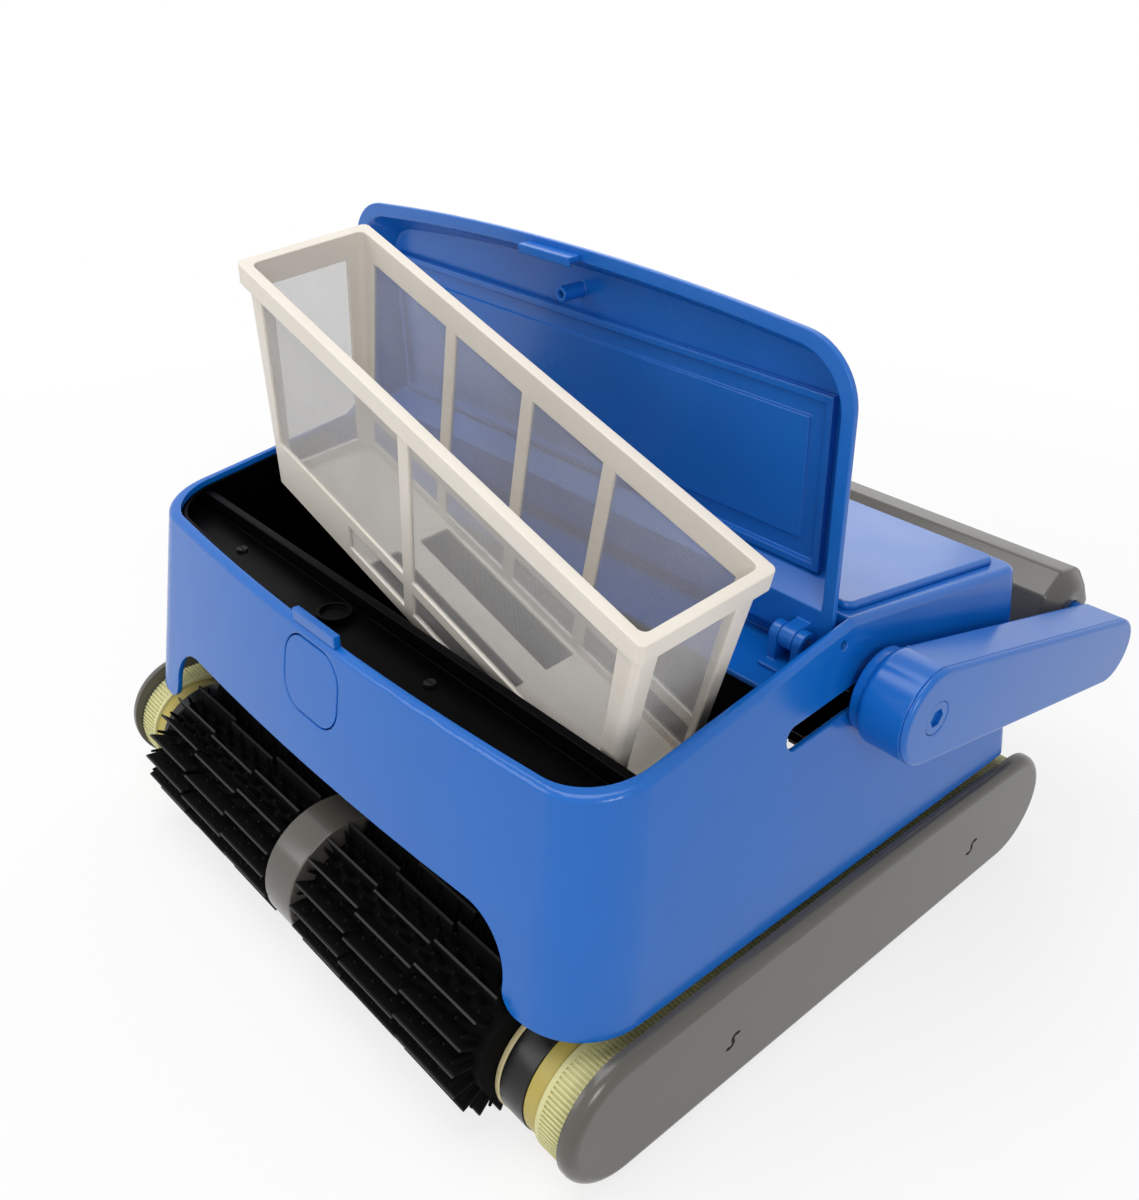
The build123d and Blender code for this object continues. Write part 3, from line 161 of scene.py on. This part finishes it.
# %% Moulded plastics
def moulded(name, colour, drift, polish, patch, skin, depth, shine=0.5):
    """A moulded plastic. polish is its least and most roughness, patch and skin are widths in mm."""
    material, tree = new_finish(name)
    place = add_node(tree, "ShaderNodeTexCoord").outputs["Object"]
    slow = add_node(tree, "ShaderNodeTexNoise", {"Scale": per_mm(patch), "Detail": 3.0}, {"Vector": place})
    fine = add_node(tree, "ShaderNodeTexNoise", {"Scale": per_mm(skin), "Detail": 2.0}, {"Vector": place})
    tint = mix_colours(tree, slow.outputs["Fac"], colour, drift)
    gloss = add_node(
        tree,
        "ShaderNodeMapRange",
        {"From Min": 0.3, "From Max": 0.7, "To Min": polish[0], "To Max": polish[1]},
        {"Value": slow.outputs["Fac"]},
    )
    relief = add_node(
        tree, "ShaderNodeBump", {"Strength": 1.0, "Distance": depth * MM}, {"Height": fine.outputs["Fac"]}
    )
    surface = add_node(
        tree,
        "ShaderNodeBsdfPrincipled",
        {"IOR": 1.5, "Specular IOR Level": shine},
        {"Base Color": tint, "Roughness": gloss.outputs["Result"], "Normal": relief.outputs["Normal"]},
    )
    add_node(tree, "ShaderNodeOutputMaterial", {}, {"Surface": surface.outputs["BSDF"]})
    return material


finishes = {
    # Glossy ABS: a saturated body colour under a clear, slightly wavy shine.
    "blue_abs": moulded("glossy_blue_abs", "#0A60B8", "#1069C4", (0.14, 0.24), 60.0, 1.6, 0.012, 0.42),
    # The lid's inside is the same ABS from a deeper batch, a little less polished.
    "deep_blue_abs": moulded("deep_blue_abs", "#1061B9", "#166BC5", (0.18, 0.3), 60.0, 1.6, 0.012, 0.42),
    # Polypropylene takes a softer, waxy shine, and black shows it as grey streaks.
    "black_pp": moulded("black_polypropylene", "#020203", "#040405", (0.3, 0.42), 45.0, 1.2, 0.012, 0.04),
    # Polished ABS, thick and warm grey, with soft reflections of the lamps at its rounded ends.
    "grey_abs": moulded("polished_grey_abs", "#54514B", "#5B5851", (0.17, 0.26), 50.0, 0.9, 0.012),
    # Natural polypropylene, off-white and slightly waxy.
    "cream_pp": moulded("cream_polypropylene", "#E0D8CC", "#E9E2D7", (0.3, 0.42), 40.0, 1.2, 0.012),
    # Pool water stains the hub's plain nylon to a brownish yellow.
    "tan_plastic": moulded("stained_nylon", "#A8973F", "#C2B260", (0.35, 0.5), 18.0, 1.0, 0.02),
    # Soft natural rubber, yellowed by chlorine, with a dusty matt face.
    "track_rubber": moulded("yellowed_rubber", "#D0CC8E", "#DBD8A6", (0.5, 0.65), 25.0, 0.8, 0.03),
    # Acetal: hard, dark and slightly slick.
    "black_acetal": moulded("black_acetal", "#070708", "#0C0C0C", (0.24, 0.34), 20.0, 0.9, 0.01, 0.35),
    # Cast resin round the motors, grey-black and matt.
    "motor_housing": moulded("potting_resin", "#1A1A1C", "#242426", (0.45, 0.6), 25.0, 1.0, 0.02, 0.4),
}
# The same nylon as the hub, paler where it is rubbed, and screws blackened by a salt bath.
flange_nylon = moulded("rubbed_nylon", "#C4B684", "#D0C498", (0.35, 0.5), 18.0, 1.0, 0.02)
black_oxide = moulded("blackened_steel", "#060606", "#0C0C0C", (0.4, 0.55), 6.0, 0.6, 0.01, 0.3)
print("moulded plastics:", len(finishes))

# %% [markdown]
# ## Stainless steel
# Bolts, pins and axles are turned stainless steel. A metal has no body colour of its own, so it is
# metallic 1 with a pale tint, and fine marks break up its polish. They are drawn 0.6 mm apart, coarser
# than real ones, so that they show.

# %% Stainless steel
mark_pitch = 0.6
steel, tree = new_finish("turned_stainless_steel")
place = add_node(tree, "ShaderNodeTexCoord").outputs["Object"]
marks = add_node(
    tree, "ShaderNodeTexNoise", {"Scale": per_mm(mark_pitch), "Detail": 3.0}, {"Vector": place}
)
polish = add_node(
    tree, "ShaderNodeMapRange", {"To Min": 0.22, "To Max": 0.38}, {"Value": marks.outputs["Fac"]}
)
relief = add_node(tree, "ShaderNodeBump", {"Distance": 0.01 * MM}, {"Height": marks.outputs["Fac"]})
surface = add_node(
    tree,
    "ShaderNodeBsdfPrincipled",
    {"Base Color": linear("#C9C9CB"), "Metallic": 1.0},
    {"Roughness": polish.outputs["Result"], "Normal": relief.outputs["Normal"]},
)
add_node(tree, "ShaderNodeOutputMaterial", {}, {"Surface": surface.outputs["BSDF"]})
finishes["steel"] = steel
print("finish:", steel.name)

# %% [markdown]
# ## Brush rubber
# The brushes are soft black PVC. Deep between the fins it is dull, and its colour is painted almost black
# there as painted shade; the tips are rubbed smoother and painted grey as a painted highlight. The brush meshes
# carry a number "tip" on each vertex, 0 at the core and 1 at the tips, and this finish reads it. Ambient occlusion
# could give the shade, but it would not export.

# %% Brush rubber
# From this height up, the fins turn from the painted shade of the core to their painted highlight; the same height
# makes them less rough.
tip_light_and_wear_from = 0.9
grain_size = 0.8
brush_finish, tree = new_finish("soft_black_pvc")
place = add_node(tree, "ShaderNodeTexCoord").outputs["Object"]
height = add_node(tree, "ShaderNodeAttribute", {"attribute_name": "tip"}).outputs["Fac"]
tip_wear_and_painted_light = add_node(tree, "ShaderNodeMapRange", {"From Min": tip_light_and_wear_from, "From Max": 1.0}, {"Value": height})
grain = add_node(
    tree, "ShaderNodeTexNoise", {"Scale": per_mm(grain_size), "Detail": 2.0}, {"Vector": place}
)
# Painted shade and painted highlight: near black where the fins are low, grey at their tips.
tint = mix_colours(tree, tip_wear_and_painted_light.outputs["Result"], "#020202", "#343434")
polish = add_node(
    tree, "ShaderNodeMapRange", {"To Min": 0.85, "To Max": 0.42}, {"Value": tip_wear_and_painted_light.outputs["Result"]}
)
relief = add_node(tree, "ShaderNodeBump", {"Distance": 0.02 * MM}, {"Height": grain.outputs["Fac"]})
surface = add_node(
    tree,
    "ShaderNodeBsdfPrincipled",
    {"IOR": 1.5, "Specular IOR Level": 0.12},
    {"Base Color": tint, "Roughness": polish.outputs["Result"], "Normal": relief.outputs["Normal"]},
)
add_node(tree, "ShaderNodeOutputMaterial", {}, {"Surface": surface.outputs["BSDF"]})
finishes["brush_pvc"] = brush_finish
print("finish:", brush_finish.name)

# %% [markdown]
# ## Filter mesh
# The basket's windows hold a fine nylon mesh: pale threads with gaps between them, so it is half
# see-through and what stands behind it shows dimly. Two wave patterns at right angles on the sheet's
# own UV map, laid out in metres, make warp and weft. Real threads are about 0.2 mm apart; 0.9 mm is
# drawn, because finer ones would blur to nothing.

# %% Filter mesh
thread_pitch = 0.9
stain_size = 30.0
gap_cover, thread_cover = 0.25, 0.68
waves_per_unit = 20 / (2 * math.pi)


def larger(tree, first, second):
    """The larger of two node outputs."""
    pick = add_node(tree, "ShaderNodeMath", {"operation": "MAXIMUM"})
    tree.links.new(first, pick.inputs[0])
    tree.links.new(second, pick.inputs[1])
    return pick.outputs["Value"]


mesh_finish, tree = new_finish("woven_nylon_mesh")
place = add_node(tree, "ShaderNodeUVMap", {"uv_map": "cloth"}).outputs["UV"]
threads = []
for direction in ("X", "Y"):
    wave = add_node(
        tree,
        "ShaderNodeTexWave",
        {"bands_direction": direction, "Scale": per_mm(thread_pitch) / waves_per_unit, "Distortion": 0.3},
        {"Vector": place},
    )
    threads.append(wave.outputs["Fac"])
weave = larger(tree, *threads)
cover = add_node(
    tree, "ShaderNodeMapRange", {"To Min": gap_cover, "To Max": thread_cover}, {"Value": weave}
)
stain = add_node(
    tree, "ShaderNodeTexNoise", {"Scale": per_mm(stain_size), "Detail": 3.0}, {"Vector": place}
)
tint = mix_colours(tree, stain.outputs["Fac"], "#B8B6B4", "#CAC8C6")
relief = add_node(tree, "ShaderNodeBump", {"Distance": 0.1 * MM}, {"Height": weave})
surface = add_node(
    tree,
    "ShaderNodeBsdfPrincipled",
    {"Roughness": 0.5, "IOR": 1.53},
    {"Base Color": tint, "Alpha": cover.outputs["Result"], "Normal": relief.outputs["Normal"]},
)
add_node(tree, "ShaderNodeOutputMaterial", {}, {"Surface": surface.outputs["BSDF"]})
finishes["mesh"] = mesh_finish
print("finish:", mesh_finish.name, "threads", thread_pitch, "mm apart")

# %% [markdown]
# ## Dress the solids
# Every solid of the frame takes the finish of its slot, apart from a few that wear differently. Some
# solids are then replaced by fuller pieces.

# %% Finish every solid
own_finish = {name: flange_nylon for name in nodes if name.startswith("wheel_flange")}
own_finish["screws"] = black_oxide


def finish_of(name):
    """The finish of a solid: its own, or else that of its slot."""
    return own_finish.get(name, finishes[slot_of[name]])


for name, solid in nodes.items():
    solid.data.materials.clear()
    solid.data.materials.append(finish_of(name))
print("finished", len(nodes), "solids")


# %% [markdown]
# ## Rounded moulding edges
# No moulded edge is razor sharp: a small radius catches the light as a thin bright line, and the eye
# reads that line as plastic. The solids have crisp edges, so each one that shows is copied, its loose
# triangles are merged, flat areas are joined to faces as large as stay convex, and its hard edges are
# bevelled. A Bevel modifier could do it too, but here the operator sees only the edges it is given.
# Where two hard edges leave a corner side by side, a bevel would throw points far out, so these few stay
# crisp.

# %% Make a piece
def new_piece(name, work, solid, smooth_angle=40.0):
    """Turns a bmesh into an object that replaces a solid, with its body and the finish of its slot."""
    mesh = bpy.data.meshes.new(name)
    work.to_mesh(mesh)
    work.free()
    piece = bpy.data.objects.new(name, mesh)
    scene.collection.objects.link(piece)
    mesh.materials.append(finish_of(solid))
    mesh.shade_smooth()
    mesh.set_sharp_from_angle(angle=math.radians(smooth_angle))
    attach(piece, body_of[solid])
    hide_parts(solid)
    return piece


merge_distance = 0.001
flat_angle = 0.5
hard_angle = 35.0
double_angle = 15.0


def merged_copy(name):
    """A bmesh of a solid whose triangles are merged and whose flat areas are single faces."""
    work = bmesh.new()
    work.from_mesh(nodes[name].data)
    bmesh.ops.remove_doubles(work, verts=work.verts, dist=merge_distance * MM)
    bmesh.ops.dissolve_limit(work, angle_limit=math.radians(flat_angle), verts=work.verts, edges=work.edges)
    return work


def doubled(edge, hard):
    """Whether another hard edge leaves one of the edge's ends in almost the same direction."""
    for vert in edge.verts:
        along = edge.other_vert(vert).co - vert.co
        for other in vert.link_edges:
            if other in hard and other is not edge:
                if along.angle(other.other_vert(vert).co - vert.co) < math.radians(double_angle):
                    return True
    return False


def softened(name, radius):
    """Replaces a solid by a copy with its hard edges rounded by that many millimetres."""
    work = merged_copy(name)
    bmesh.ops.connect_verts_concave(work, faces=work.faces)
    hard = {e for e in work.edges if e.is_manifold and e.calc_face_angle() > math.radians(hard_angle)}
    rounded = [e for e in work.edges if e in hard and not doubled(e, hard)]
    bmesh.ops.bevel(
        work,
        geom=rounded,
        offset=radius * MM,
        offset_type="OFFSET",
        affect="EDGES",
        segments=2,
        profile=0.5,
        material=-1,
    )
    piece = new_piece(name + "_moulding", work, name)
    weighted = piece.modifiers.new("even_shading", "WEIGHTED_NORMAL")
    weighted.keep_sharp = True
    return piece


# %% [markdown]
# ## The mouldings that show
# A radius suits the size of its piece: the float bar takes a large one, gears and small knobs a small
# one. They could all share one radius, but then small pieces would melt. Solids that hardly show keep
# their crisp edges, which saves triangles.

# %% Round the mouldings
edge_radius = {
    "main_shell": 0.7,
    "rear_deck": 0.8,
    "lid_shell": 0.6,
    "lid_liner": 0.7,
    "lid_latch_tab": 0.6,
    "hinge_brackets": 0.6,
    "latch_keeper": 0.6,
    "release_button": 0.5,
    "filter_chamber": 0.6,
    "chamber_partition": 0.8,
    "chamber_plug": 0.5,
    "basket_frame": 0.6,
    "handle_bar": 2.0,
    "brush_bridge_front": 1.0,
    "brush_bridge_rear": 1.0,
}
for side in ("left", "right"):
    edge_radius["handle_arm_" + side] = 0.8
    edge_radius["arm_cover_" + side] = 0.5
    for end in ("front", "rear"):
        edge_radius[f"wheel_hub_{end}_{side}"] = 0.5
        edge_radius[f"ring_gear_{end}_{side}"] = 0.3
        edge_radius[f"wheel_flange_{end}_{side}"] = 0.6
for name, radius in edge_radius.items():
    softened(name, radius)
print("rounded", len(edge_radius), "mouldings")

# %% [markdown]
# ## Brushes
# Each brush half is a soft PVC sleeve moulded in one shot: long thin fins that wipe, and between them
# rows of short nubs that scrub. The fins break into steps along the roll so that it doesn't thump. A
# core is made once from a circle, and fins and nubs are small boxes and cones turned round its axis.

# %% Parts of a brush
brush_fins = 18
brush_steps = 3
nubs_in_row = 9
sleeve_depth = 12.5
fin_foot, fin_tip = 2.2, 1.1
nub_foot, nub_tip, nub_drop = 1.6, 0.8, 1.5
fin_limit = 155.0
neck_radius = 10.0
step_gap = 0.8
step_turn = 0.18
sink = 1.0
core_sides, neck_sides, nub_sides = 64, 24, 6


def turned(angle, y, z):
    """A matrix that turns round a line along X through that point."""
    return Matrix.Translation((0, y, z)) @ Matrix.Rotation(angle, 4, "X")


def add_roller(work, radius, x0, x1, y, z, sides):
    """Adds a closed cylinder along X, with its ends left flat."""
    across = Matrix.Translation(((x0 + x1) / 2, y, z)) @ Matrix.Rotation(math.pi / 2, 4, "Y")
    bmesh.ops.create_cone(
        work,
        cap_ends=True,
        segments=sides,
        radius1=radius,
        radius2=radius,
        depth=abs(x1 - x0),
        matrix=across,
    )


def add_fin(work, x, length, low, high, angle, y, z):
    """Adds a fin of that length, thick at its foot and thin at its tip, turned round the roll."""
    fin = bmesh.ops.create_cube(work, size=1.0)["verts"]
    for corner in fin:
        corner.co.y *= (fin_tip if corner.co.z > 0 else fin_foot) * MM
    bmesh.ops.scale(work, verts=fin, vec=(length, 1.0, high - low))
    bmesh.ops.translate(work, verts=fin, vec=(x, 0, (low + high) / 2))
    bmesh.ops.transform(work, verts=fin, matrix=turned(angle, y, z))


# %% One brush half
def brush_roll(end, side):
    """A finned and nubbed brush half that replaces its solid."""
    name = f"brush_{end}_{side}"
    low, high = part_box(name)
    y, z = (low.y + high.y) / 2, (low.z + high.z) / 2
    reach = min(high.y - low.y, high.z - low.z) / 2
    core = reach - sleeve_depth * MM
    sign = 1 if side == "right" else -1
    near, tail = sorted((abs(low.x), abs(high.x)))
    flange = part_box(f"wheel_flange_{end}_{side}")
    core_end = min(abs(corner.x) for corner in flange) - step_gap * MM
    far = min(core_end, fin_limit * MM)
    work = bmesh.new()
    tip = work.verts.layers.float.new("tip")
    add_roller(work, core, sign * near, sign * core_end, y, z, core_sides)
    add_roller(work, neck_radius * MM, sign * (core_end - sink * MM), sign * tail, y, z, neck_sides)
    step = (far - near) / brush_steps
    turn = 2 * math.pi / brush_fins
    for row in range(brush_fins):
        for part in range(brush_steps):
            x = sign * (near + (part + 0.5) * step)
            shifted = turn * (row + step_turn * (part % 2))
            add_fin(work, x, step - step_gap * MM, core - sink * MM, reach, shifted, y, z)
        for column in range(2 * nubs_in_row):
            x = sign * (near + (column + 0.5) * (far - near) / (2 * nubs_in_row))
            tall = reach - nub_drop * MM - core + sink * MM
            upright = Matrix.Translation((x, 0, core - sink * MM + tall / 2))
            beside = turn * (row + (1 + column % 2) / 3)
            bmesh.ops.create_cone(
                work,
                cap_ends=True,
                segments=nub_sides,
                radius1=nub_foot * MM,
                radius2=nub_tip * MM,
                depth=tall,
                matrix=turned(beside, y, z) @ upright,
            )
    for vert in work.verts:
        vert[tip] = max(0.0, (math.hypot(vert.co.y - y, vert.co.z - z) - core) / (reach - core))
    return new_piece(name + "_sleeve", work, name, 30.0)


# %% Four brush halves
for end in ("front", "rear"):
    for side in ("left", "right"):
        roll_piece = brush_roll(end, side)
        print(roll_piece.name, len(roll_piece.data.polygons), "faces")

# %% [markdown]
# ## Tracks
# A track is a moulded rubber belt with fine cross ribs, far finer than the solid's grooves. Its band is
# one small section swept round the wheels: extruded along the two runs and spun round the two ends.
# A smooth strip along its inner edge is part of that section. The ribs are small boxes along the path.

# %% One track
rib_pitch = 2.4
rib_height = 1.1
rib_width = 1.2
rib_setback = 0.8
strip_width = 2.5
band_thickness = 2.0
weld_distance = 0.01
turn_steps = 32


def track_belt(side):
    """A ribbed belt round two wheels, in place of the solid track."""
    name = "track_" + side
    low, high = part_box(name)
    radius = (high.z - low.z) / 2
    z = (low.z + high.z) / 2
    front, rear = low.y + radius, high.y - radius
    inner_x, outer_x = sorted((low.x, high.x), key=abs)
    away = math.copysign(MM, inner_x)
    strip_x = inner_x + strip_width * away
    face = radius - rib_height * MM
    inside = face - band_thickness * MM
    work = bmesh.new()
    corners = [
        (inner_x, radius),
        (strip_x, radius),
        (strip_x, face),
        (outer_x, face),
        (outer_x, inside),
        (inner_x, inside),
    ]
    section = [work.verts.new((x, front, z - r)) for x, r in corners]
    edges = [work.edges.new(pair) for pair in zip(section, section[1:] + section[:1])]
    for start, stop, centre in ((front, rear, rear), (rear, front, front)):
        run = bmesh.ops.extrude_edge_only(work, edges=edges)["geom"]
        ends = [item for item in run if isinstance(item, bmesh.types.BMVert)]
        bmesh.ops.translate(work, verts=ends, vec=(0, stop - start, 0))
        edges = [item for item in run if isinstance(item, bmesh.types.BMEdge)]
        edges = [e for e in edges if all(v in ends for v in e.verts)]
        turn = bmesh.ops.spin(
            work,
            geom=edges,
            cent=(0, centre, z),
            axis=(1, 0, 0),
            angle=math.pi,
            steps=turn_steps,
            use_duplicate=False,
        )["geom_last"]
        edges = [item for item in turn if isinstance(item, bmesh.types.BMEdge)]
    bmesh.ops.remove_doubles(work, verts=work.verts, dist=weld_distance * MM)
    bmesh.ops.recalc_face_normals(work, faces=work.faces)
    run_length = rear - front
    half_turn = math.pi * radius
    total = 2 * (run_length + half_turn)
    count = round(total / (rib_pitch * MM))
    height = 2 * rib_height * MM
    rib_end = outer_x - rib_setback * away
    for index in range(count):
        along = total * index / count
        if along < run_length:
            place = Matrix.Translation((0, front + along, z))
        elif along < run_length + half_turn:
            place = turned((along - run_length) / radius, rear, z)
        elif along < 2 * run_length + half_turn:
            place = turned(math.pi, rear - (along - run_length - half_turn), z)
        else:
            place = turned(math.pi + (along - 2 * run_length - half_turn) / radius, front, z)
        rib = bmesh.ops.create_cube(work, size=1.0)["verts"]
        bmesh.ops.scale(work, verts=rib, vec=(abs(rib_end - strip_x), rib_width * MM, height))
        bmesh.ops.translate(work, verts=rib, vec=((strip_x + rib_end) / 2, 0, height / 2 - radius))
        bmesh.ops.transform(work, verts=rib, matrix=place)
    return new_piece(name + "_belt", work, name, 30.0)


# %% Both tracks
for side in ("left", "right"):
    belt = track_belt(side)
    print(belt.name, len(belt.data.polygons), "faces")

# %% [markdown]
# ## Filter mesh panels
# Fourteen pieces of nylon mesh are welded into the basket's windows. Each is stretched but not drum
# tight: it bellies and shows shallow pulls. The solids hold a flat plate in each window, so a sheet
# takes its place and size from its plate. The basket stands tilted, so the plates are first turned
# back to the basket's seat, where they are level, and the finished sheets are turned up again.

# %% The basket's tilt
lift = next(joint for joint in frame["joints"] if joint["name"] == "basket_lift")
tilt = math.radians(lift["range_deg"][1] - lift["range_deg"][0])
pivot = Vector(lift["pos_m"])
raise_basket = (
    Matrix.Translation(pivot)
    @ Matrix.Rotation(tilt, 4, Vector(lift["axis"]))
    @ Matrix.Translation(-pivot)
)
lower_basket = raise_basket.inverted()
plate_thickness = 0.6
belly = 1.1
pull = 0.35
grid_pitch = 5.0
least_columns, least_rows = 8, 6


def islands(work):
    """The separate groups of vertices in a bmesh."""
    left = set(work.verts)
    groups = []
    while left:
        group, front = set(), [left.pop()]
        while front:
            vert = front.pop()
            group.add(vert)
            for edge in vert.link_edges:
                other = edge.other_vert(vert)
                if other in left:
                    left.discard(other)
                    front.append(other)
        groups.append(group)
    return groups


# %% One sheet
def window_sheet(index, corner_low, corner_high, outwards):
    """One sheet of mesh in a window; the window's corners are in the basket's seat."""
    across_x = abs(outwards.y) > 0.5
    width = corner_high.x - corner_low.x if across_x else corner_high.y - corner_low.y
    height = corner_high.z - corner_low.z
    columns = max(least_columns, round(width / (grid_pitch * MM)))
    rows = max(least_rows, round(height / (grid_pitch * MM)))
    work = bmesh.new()
    bmesh.ops.create_grid(work, x_segments=columns, y_segments=rows, size=0.5, calc_uvs=False)
    cloth = work.loops.layers.uv.new("cloth")
    for face in work.faces:
        for loop in face.loops:
            loop[cloth].uv = (loop.vert.co.x * width, loop.vert.co.y * height)
    depth = corner_high.y - corner_low.y if across_x else corner_high.x - corner_low.x
    for vert in work.verts:
        u, v = vert.co.x + 0.5, vert.co.y + 0.5
        slack = math.sin(math.pi * u) * math.sin(math.pi * v)
        ripple = math.sin(9.0 * u + 5.0 * v + 1.7 * index) * math.sin(7.0 * v - 4.0 * u + index)
        swell = (belly * slack + pull * ripple * min(1.0, 3 * slack)) * MM
        lean = (v - 0.5) * (depth - plate_thickness * MM)
        place = (corner_low + corner_high) / 2 + outwards * (lean - swell)
        place.z = corner_low.z + v * height
        if across_x:
            place.x = corner_low.x + u * width
        else:
            place.y = corner_low.y + u * width
        vert.co = place
    bmesh.ops.transform(work, verts=work.verts, matrix=raise_basket)
    sheet = new_piece(f"mesh_panel_{index}", work, "basket_mesh", 180.0)
    return sheet


# %% Fourteen sheets
plates = merged_copy("basket_mesh")
bmesh.ops.transform(plates, verts=plates.verts, matrix=lower_basket)
spans = []
for group in islands(plates):
    low = Vector([min(v.co[i] for v in group) for i in range(3)])
    high = Vector([max(v.co[i] for v in group) for i in range(3)])
    spans.append((low, high))
plates.free()
basket_centre = sum(((low + high) / 2 for low, high in spans), Vector()) / len(spans)
for index, (low, high) in enumerate(sorted(spans, key=lambda s: tuple(s[0]))):
    middle = (low + high) / 2 - basket_centre
    if high.y - low.y < high.x - low.x:
        outwards = Vector((0, math.copysign(1, middle.y), 0))
    else:
        outwards = Vector((math.copysign(1, middle.x), 0, 0))
    sheet = window_sheet(index, low, high, outwards)
    print(sheet.name, [round(d / MM, 1) for d in (high - low)])

# %% [markdown]
# ## Floor
# The picture shows a white studio, where a pale floor runs into a white background. A curved backdrop
# could be modelled, but a flat floor will do: it is partly self-lit for the camera, which keeps it pale
# and leaves the object's soft shadow on it. Farther out it is wholly self-lit, so no horizon shows.

# %% Floor
fade_start, fade_end = 0.35, 1.0
near_share = 0.75
floor_size = 8.0


def seen_straight(tree):
    """An output that is 1 for rays from the camera, a reflection or a see-through piece, and else 0."""
    rays = add_node(tree, "ShaderNodeLightPath").outputs
    direct = larger(tree, rays["Is Camera Ray"], rays["Is Glossy Ray"])
    return larger(tree, direct, rays["Is Transmission Ray"])


floor_finish, tree = new_finish("pale_studio_floor")
shown = seen_straight(tree)
place = add_node(tree, "ShaderNodeTexCoord").outputs["Object"]
away = add_node(tree, "ShaderNodeVectorMath", {"operation": "LENGTH"}, {"Vector": place})
fade = add_node(
    tree,
    "ShaderNodeMapRange",
    {"From Min": fade_start, "From Max": fade_end, "To Min": near_share, "To Max": 1.0},
    {"Value": away.outputs["Value"]},
)
share = add_node(tree, "ShaderNodeMath", {"operation": "MULTIPLY"})
tree.links.new(shown, share.inputs[0])
tree.links.new(fade.outputs["Result"], share.inputs[1])
matt = add_node(tree, "ShaderNodeBsdfDiffuse", {"Color": linear("#F7F7F7")})
white = add_node(tree, "ShaderNodeEmission", {"Color": linear("#FFFFFF"), "Strength": 1.0})
blend = add_node(tree, "ShaderNodeMixShader", {}, {"Fac": share.outputs["Value"]})
tree.links.new(matt.outputs["BSDF"], blend.inputs[1])
tree.links.new(white.outputs["Emission"], blend.inputs[2])
add_node(tree, "ShaderNodeOutputMaterial", {}, {"Surface": blend.outputs["Shader"]})

work = bmesh.new()
bmesh.ops.create_grid(work, x_segments=1, y_segments=1, size=floor_size)
floor_mesh = bpy.data.meshes.new("floor")
work.to_mesh(floor_mesh)
work.free()
floor = bpy.data.objects.new("floor", floor_mesh)
scene.collection.objects.link(floor)
floor_mesh.materials.append(floor_finish)
print("floor", floor_finish.name)

# %% [markdown]
# ## White surroundings
# A studio's white walls light the object too. They could be modelled, but a plain white world is enough.
# It is white to the camera and to reflections but lights the object at less than half of that, so that
# colours render about as they are written.

# %% World
fill_light = 0.45
world = bpy.data.worlds.new("white_studio")
scene.world = world
world.use_nodes = True
tree = world.node_tree
tree.nodes.clear()
light = add_node(tree, "ShaderNodeBackground", {"Color": linear("#FFFFFF"), "Strength": fill_light})
backdrop = add_node(tree, "ShaderNodeBackground", {"Color": linear("#FFFFFF"), "Strength": 1.0})
blend = add_node(tree, "ShaderNodeMixShader", {}, {"Fac": seen_straight(tree)})
tree.links.new(light.outputs["Background"], blend.inputs[1])
tree.links.new(backdrop.outputs["Background"], blend.inputs[2])
add_node(tree, "ShaderNodeOutputWorld", {}, {"Surface": blend.outputs["Shader"]})
print("world", world.name)

# %% [markdown]
# ## Lamps
# Large soft boxes give plastic broad and gentle reflections, where spot lamps would give hard points.
# The strongest hangs overhead and makes the shadow. Three weaker ones lift the walls out of the dark.

# %% Lamps
def softbox(name, place, aim, width, watts):
    """A square area lamp at a place in metres, turned to face another."""
    lamp = bpy.data.objects.new(name, bpy.data.lights.new(name, "AREA"))
    lamp.data.size = width
    lamp.data.energy = watts
    lamp.location = place
    lamp.rotation_euler = (Vector(aim) - Vector(place)).to_track_quat("-Z", "Y").to_euler()
    scene.collection.objects.link(lamp)
    return lamp


object_middle = (cad_box[0] + cad_box[1]) / 2
softbox("overhead", (-0.2, -0.3, 1.7), object_middle, 1.2, 13.0)
softbox("back_left", (-1.0, 1.3, 1.0), object_middle, 1.2, 4.5)
softbox("front_left", (-0.9, -1.5, 0.9), object_middle, 0.8, 5.0)
softbox("front_right", (1.5, -0.9, 1.0), object_middle, 0.6, 8.5)

# %% [markdown]
# ## Size
# The dressed object must stay the size of the solids; the solids' box is written out.

# %% The solids' box
print("CAD box", [list(c) for c in cad_box])
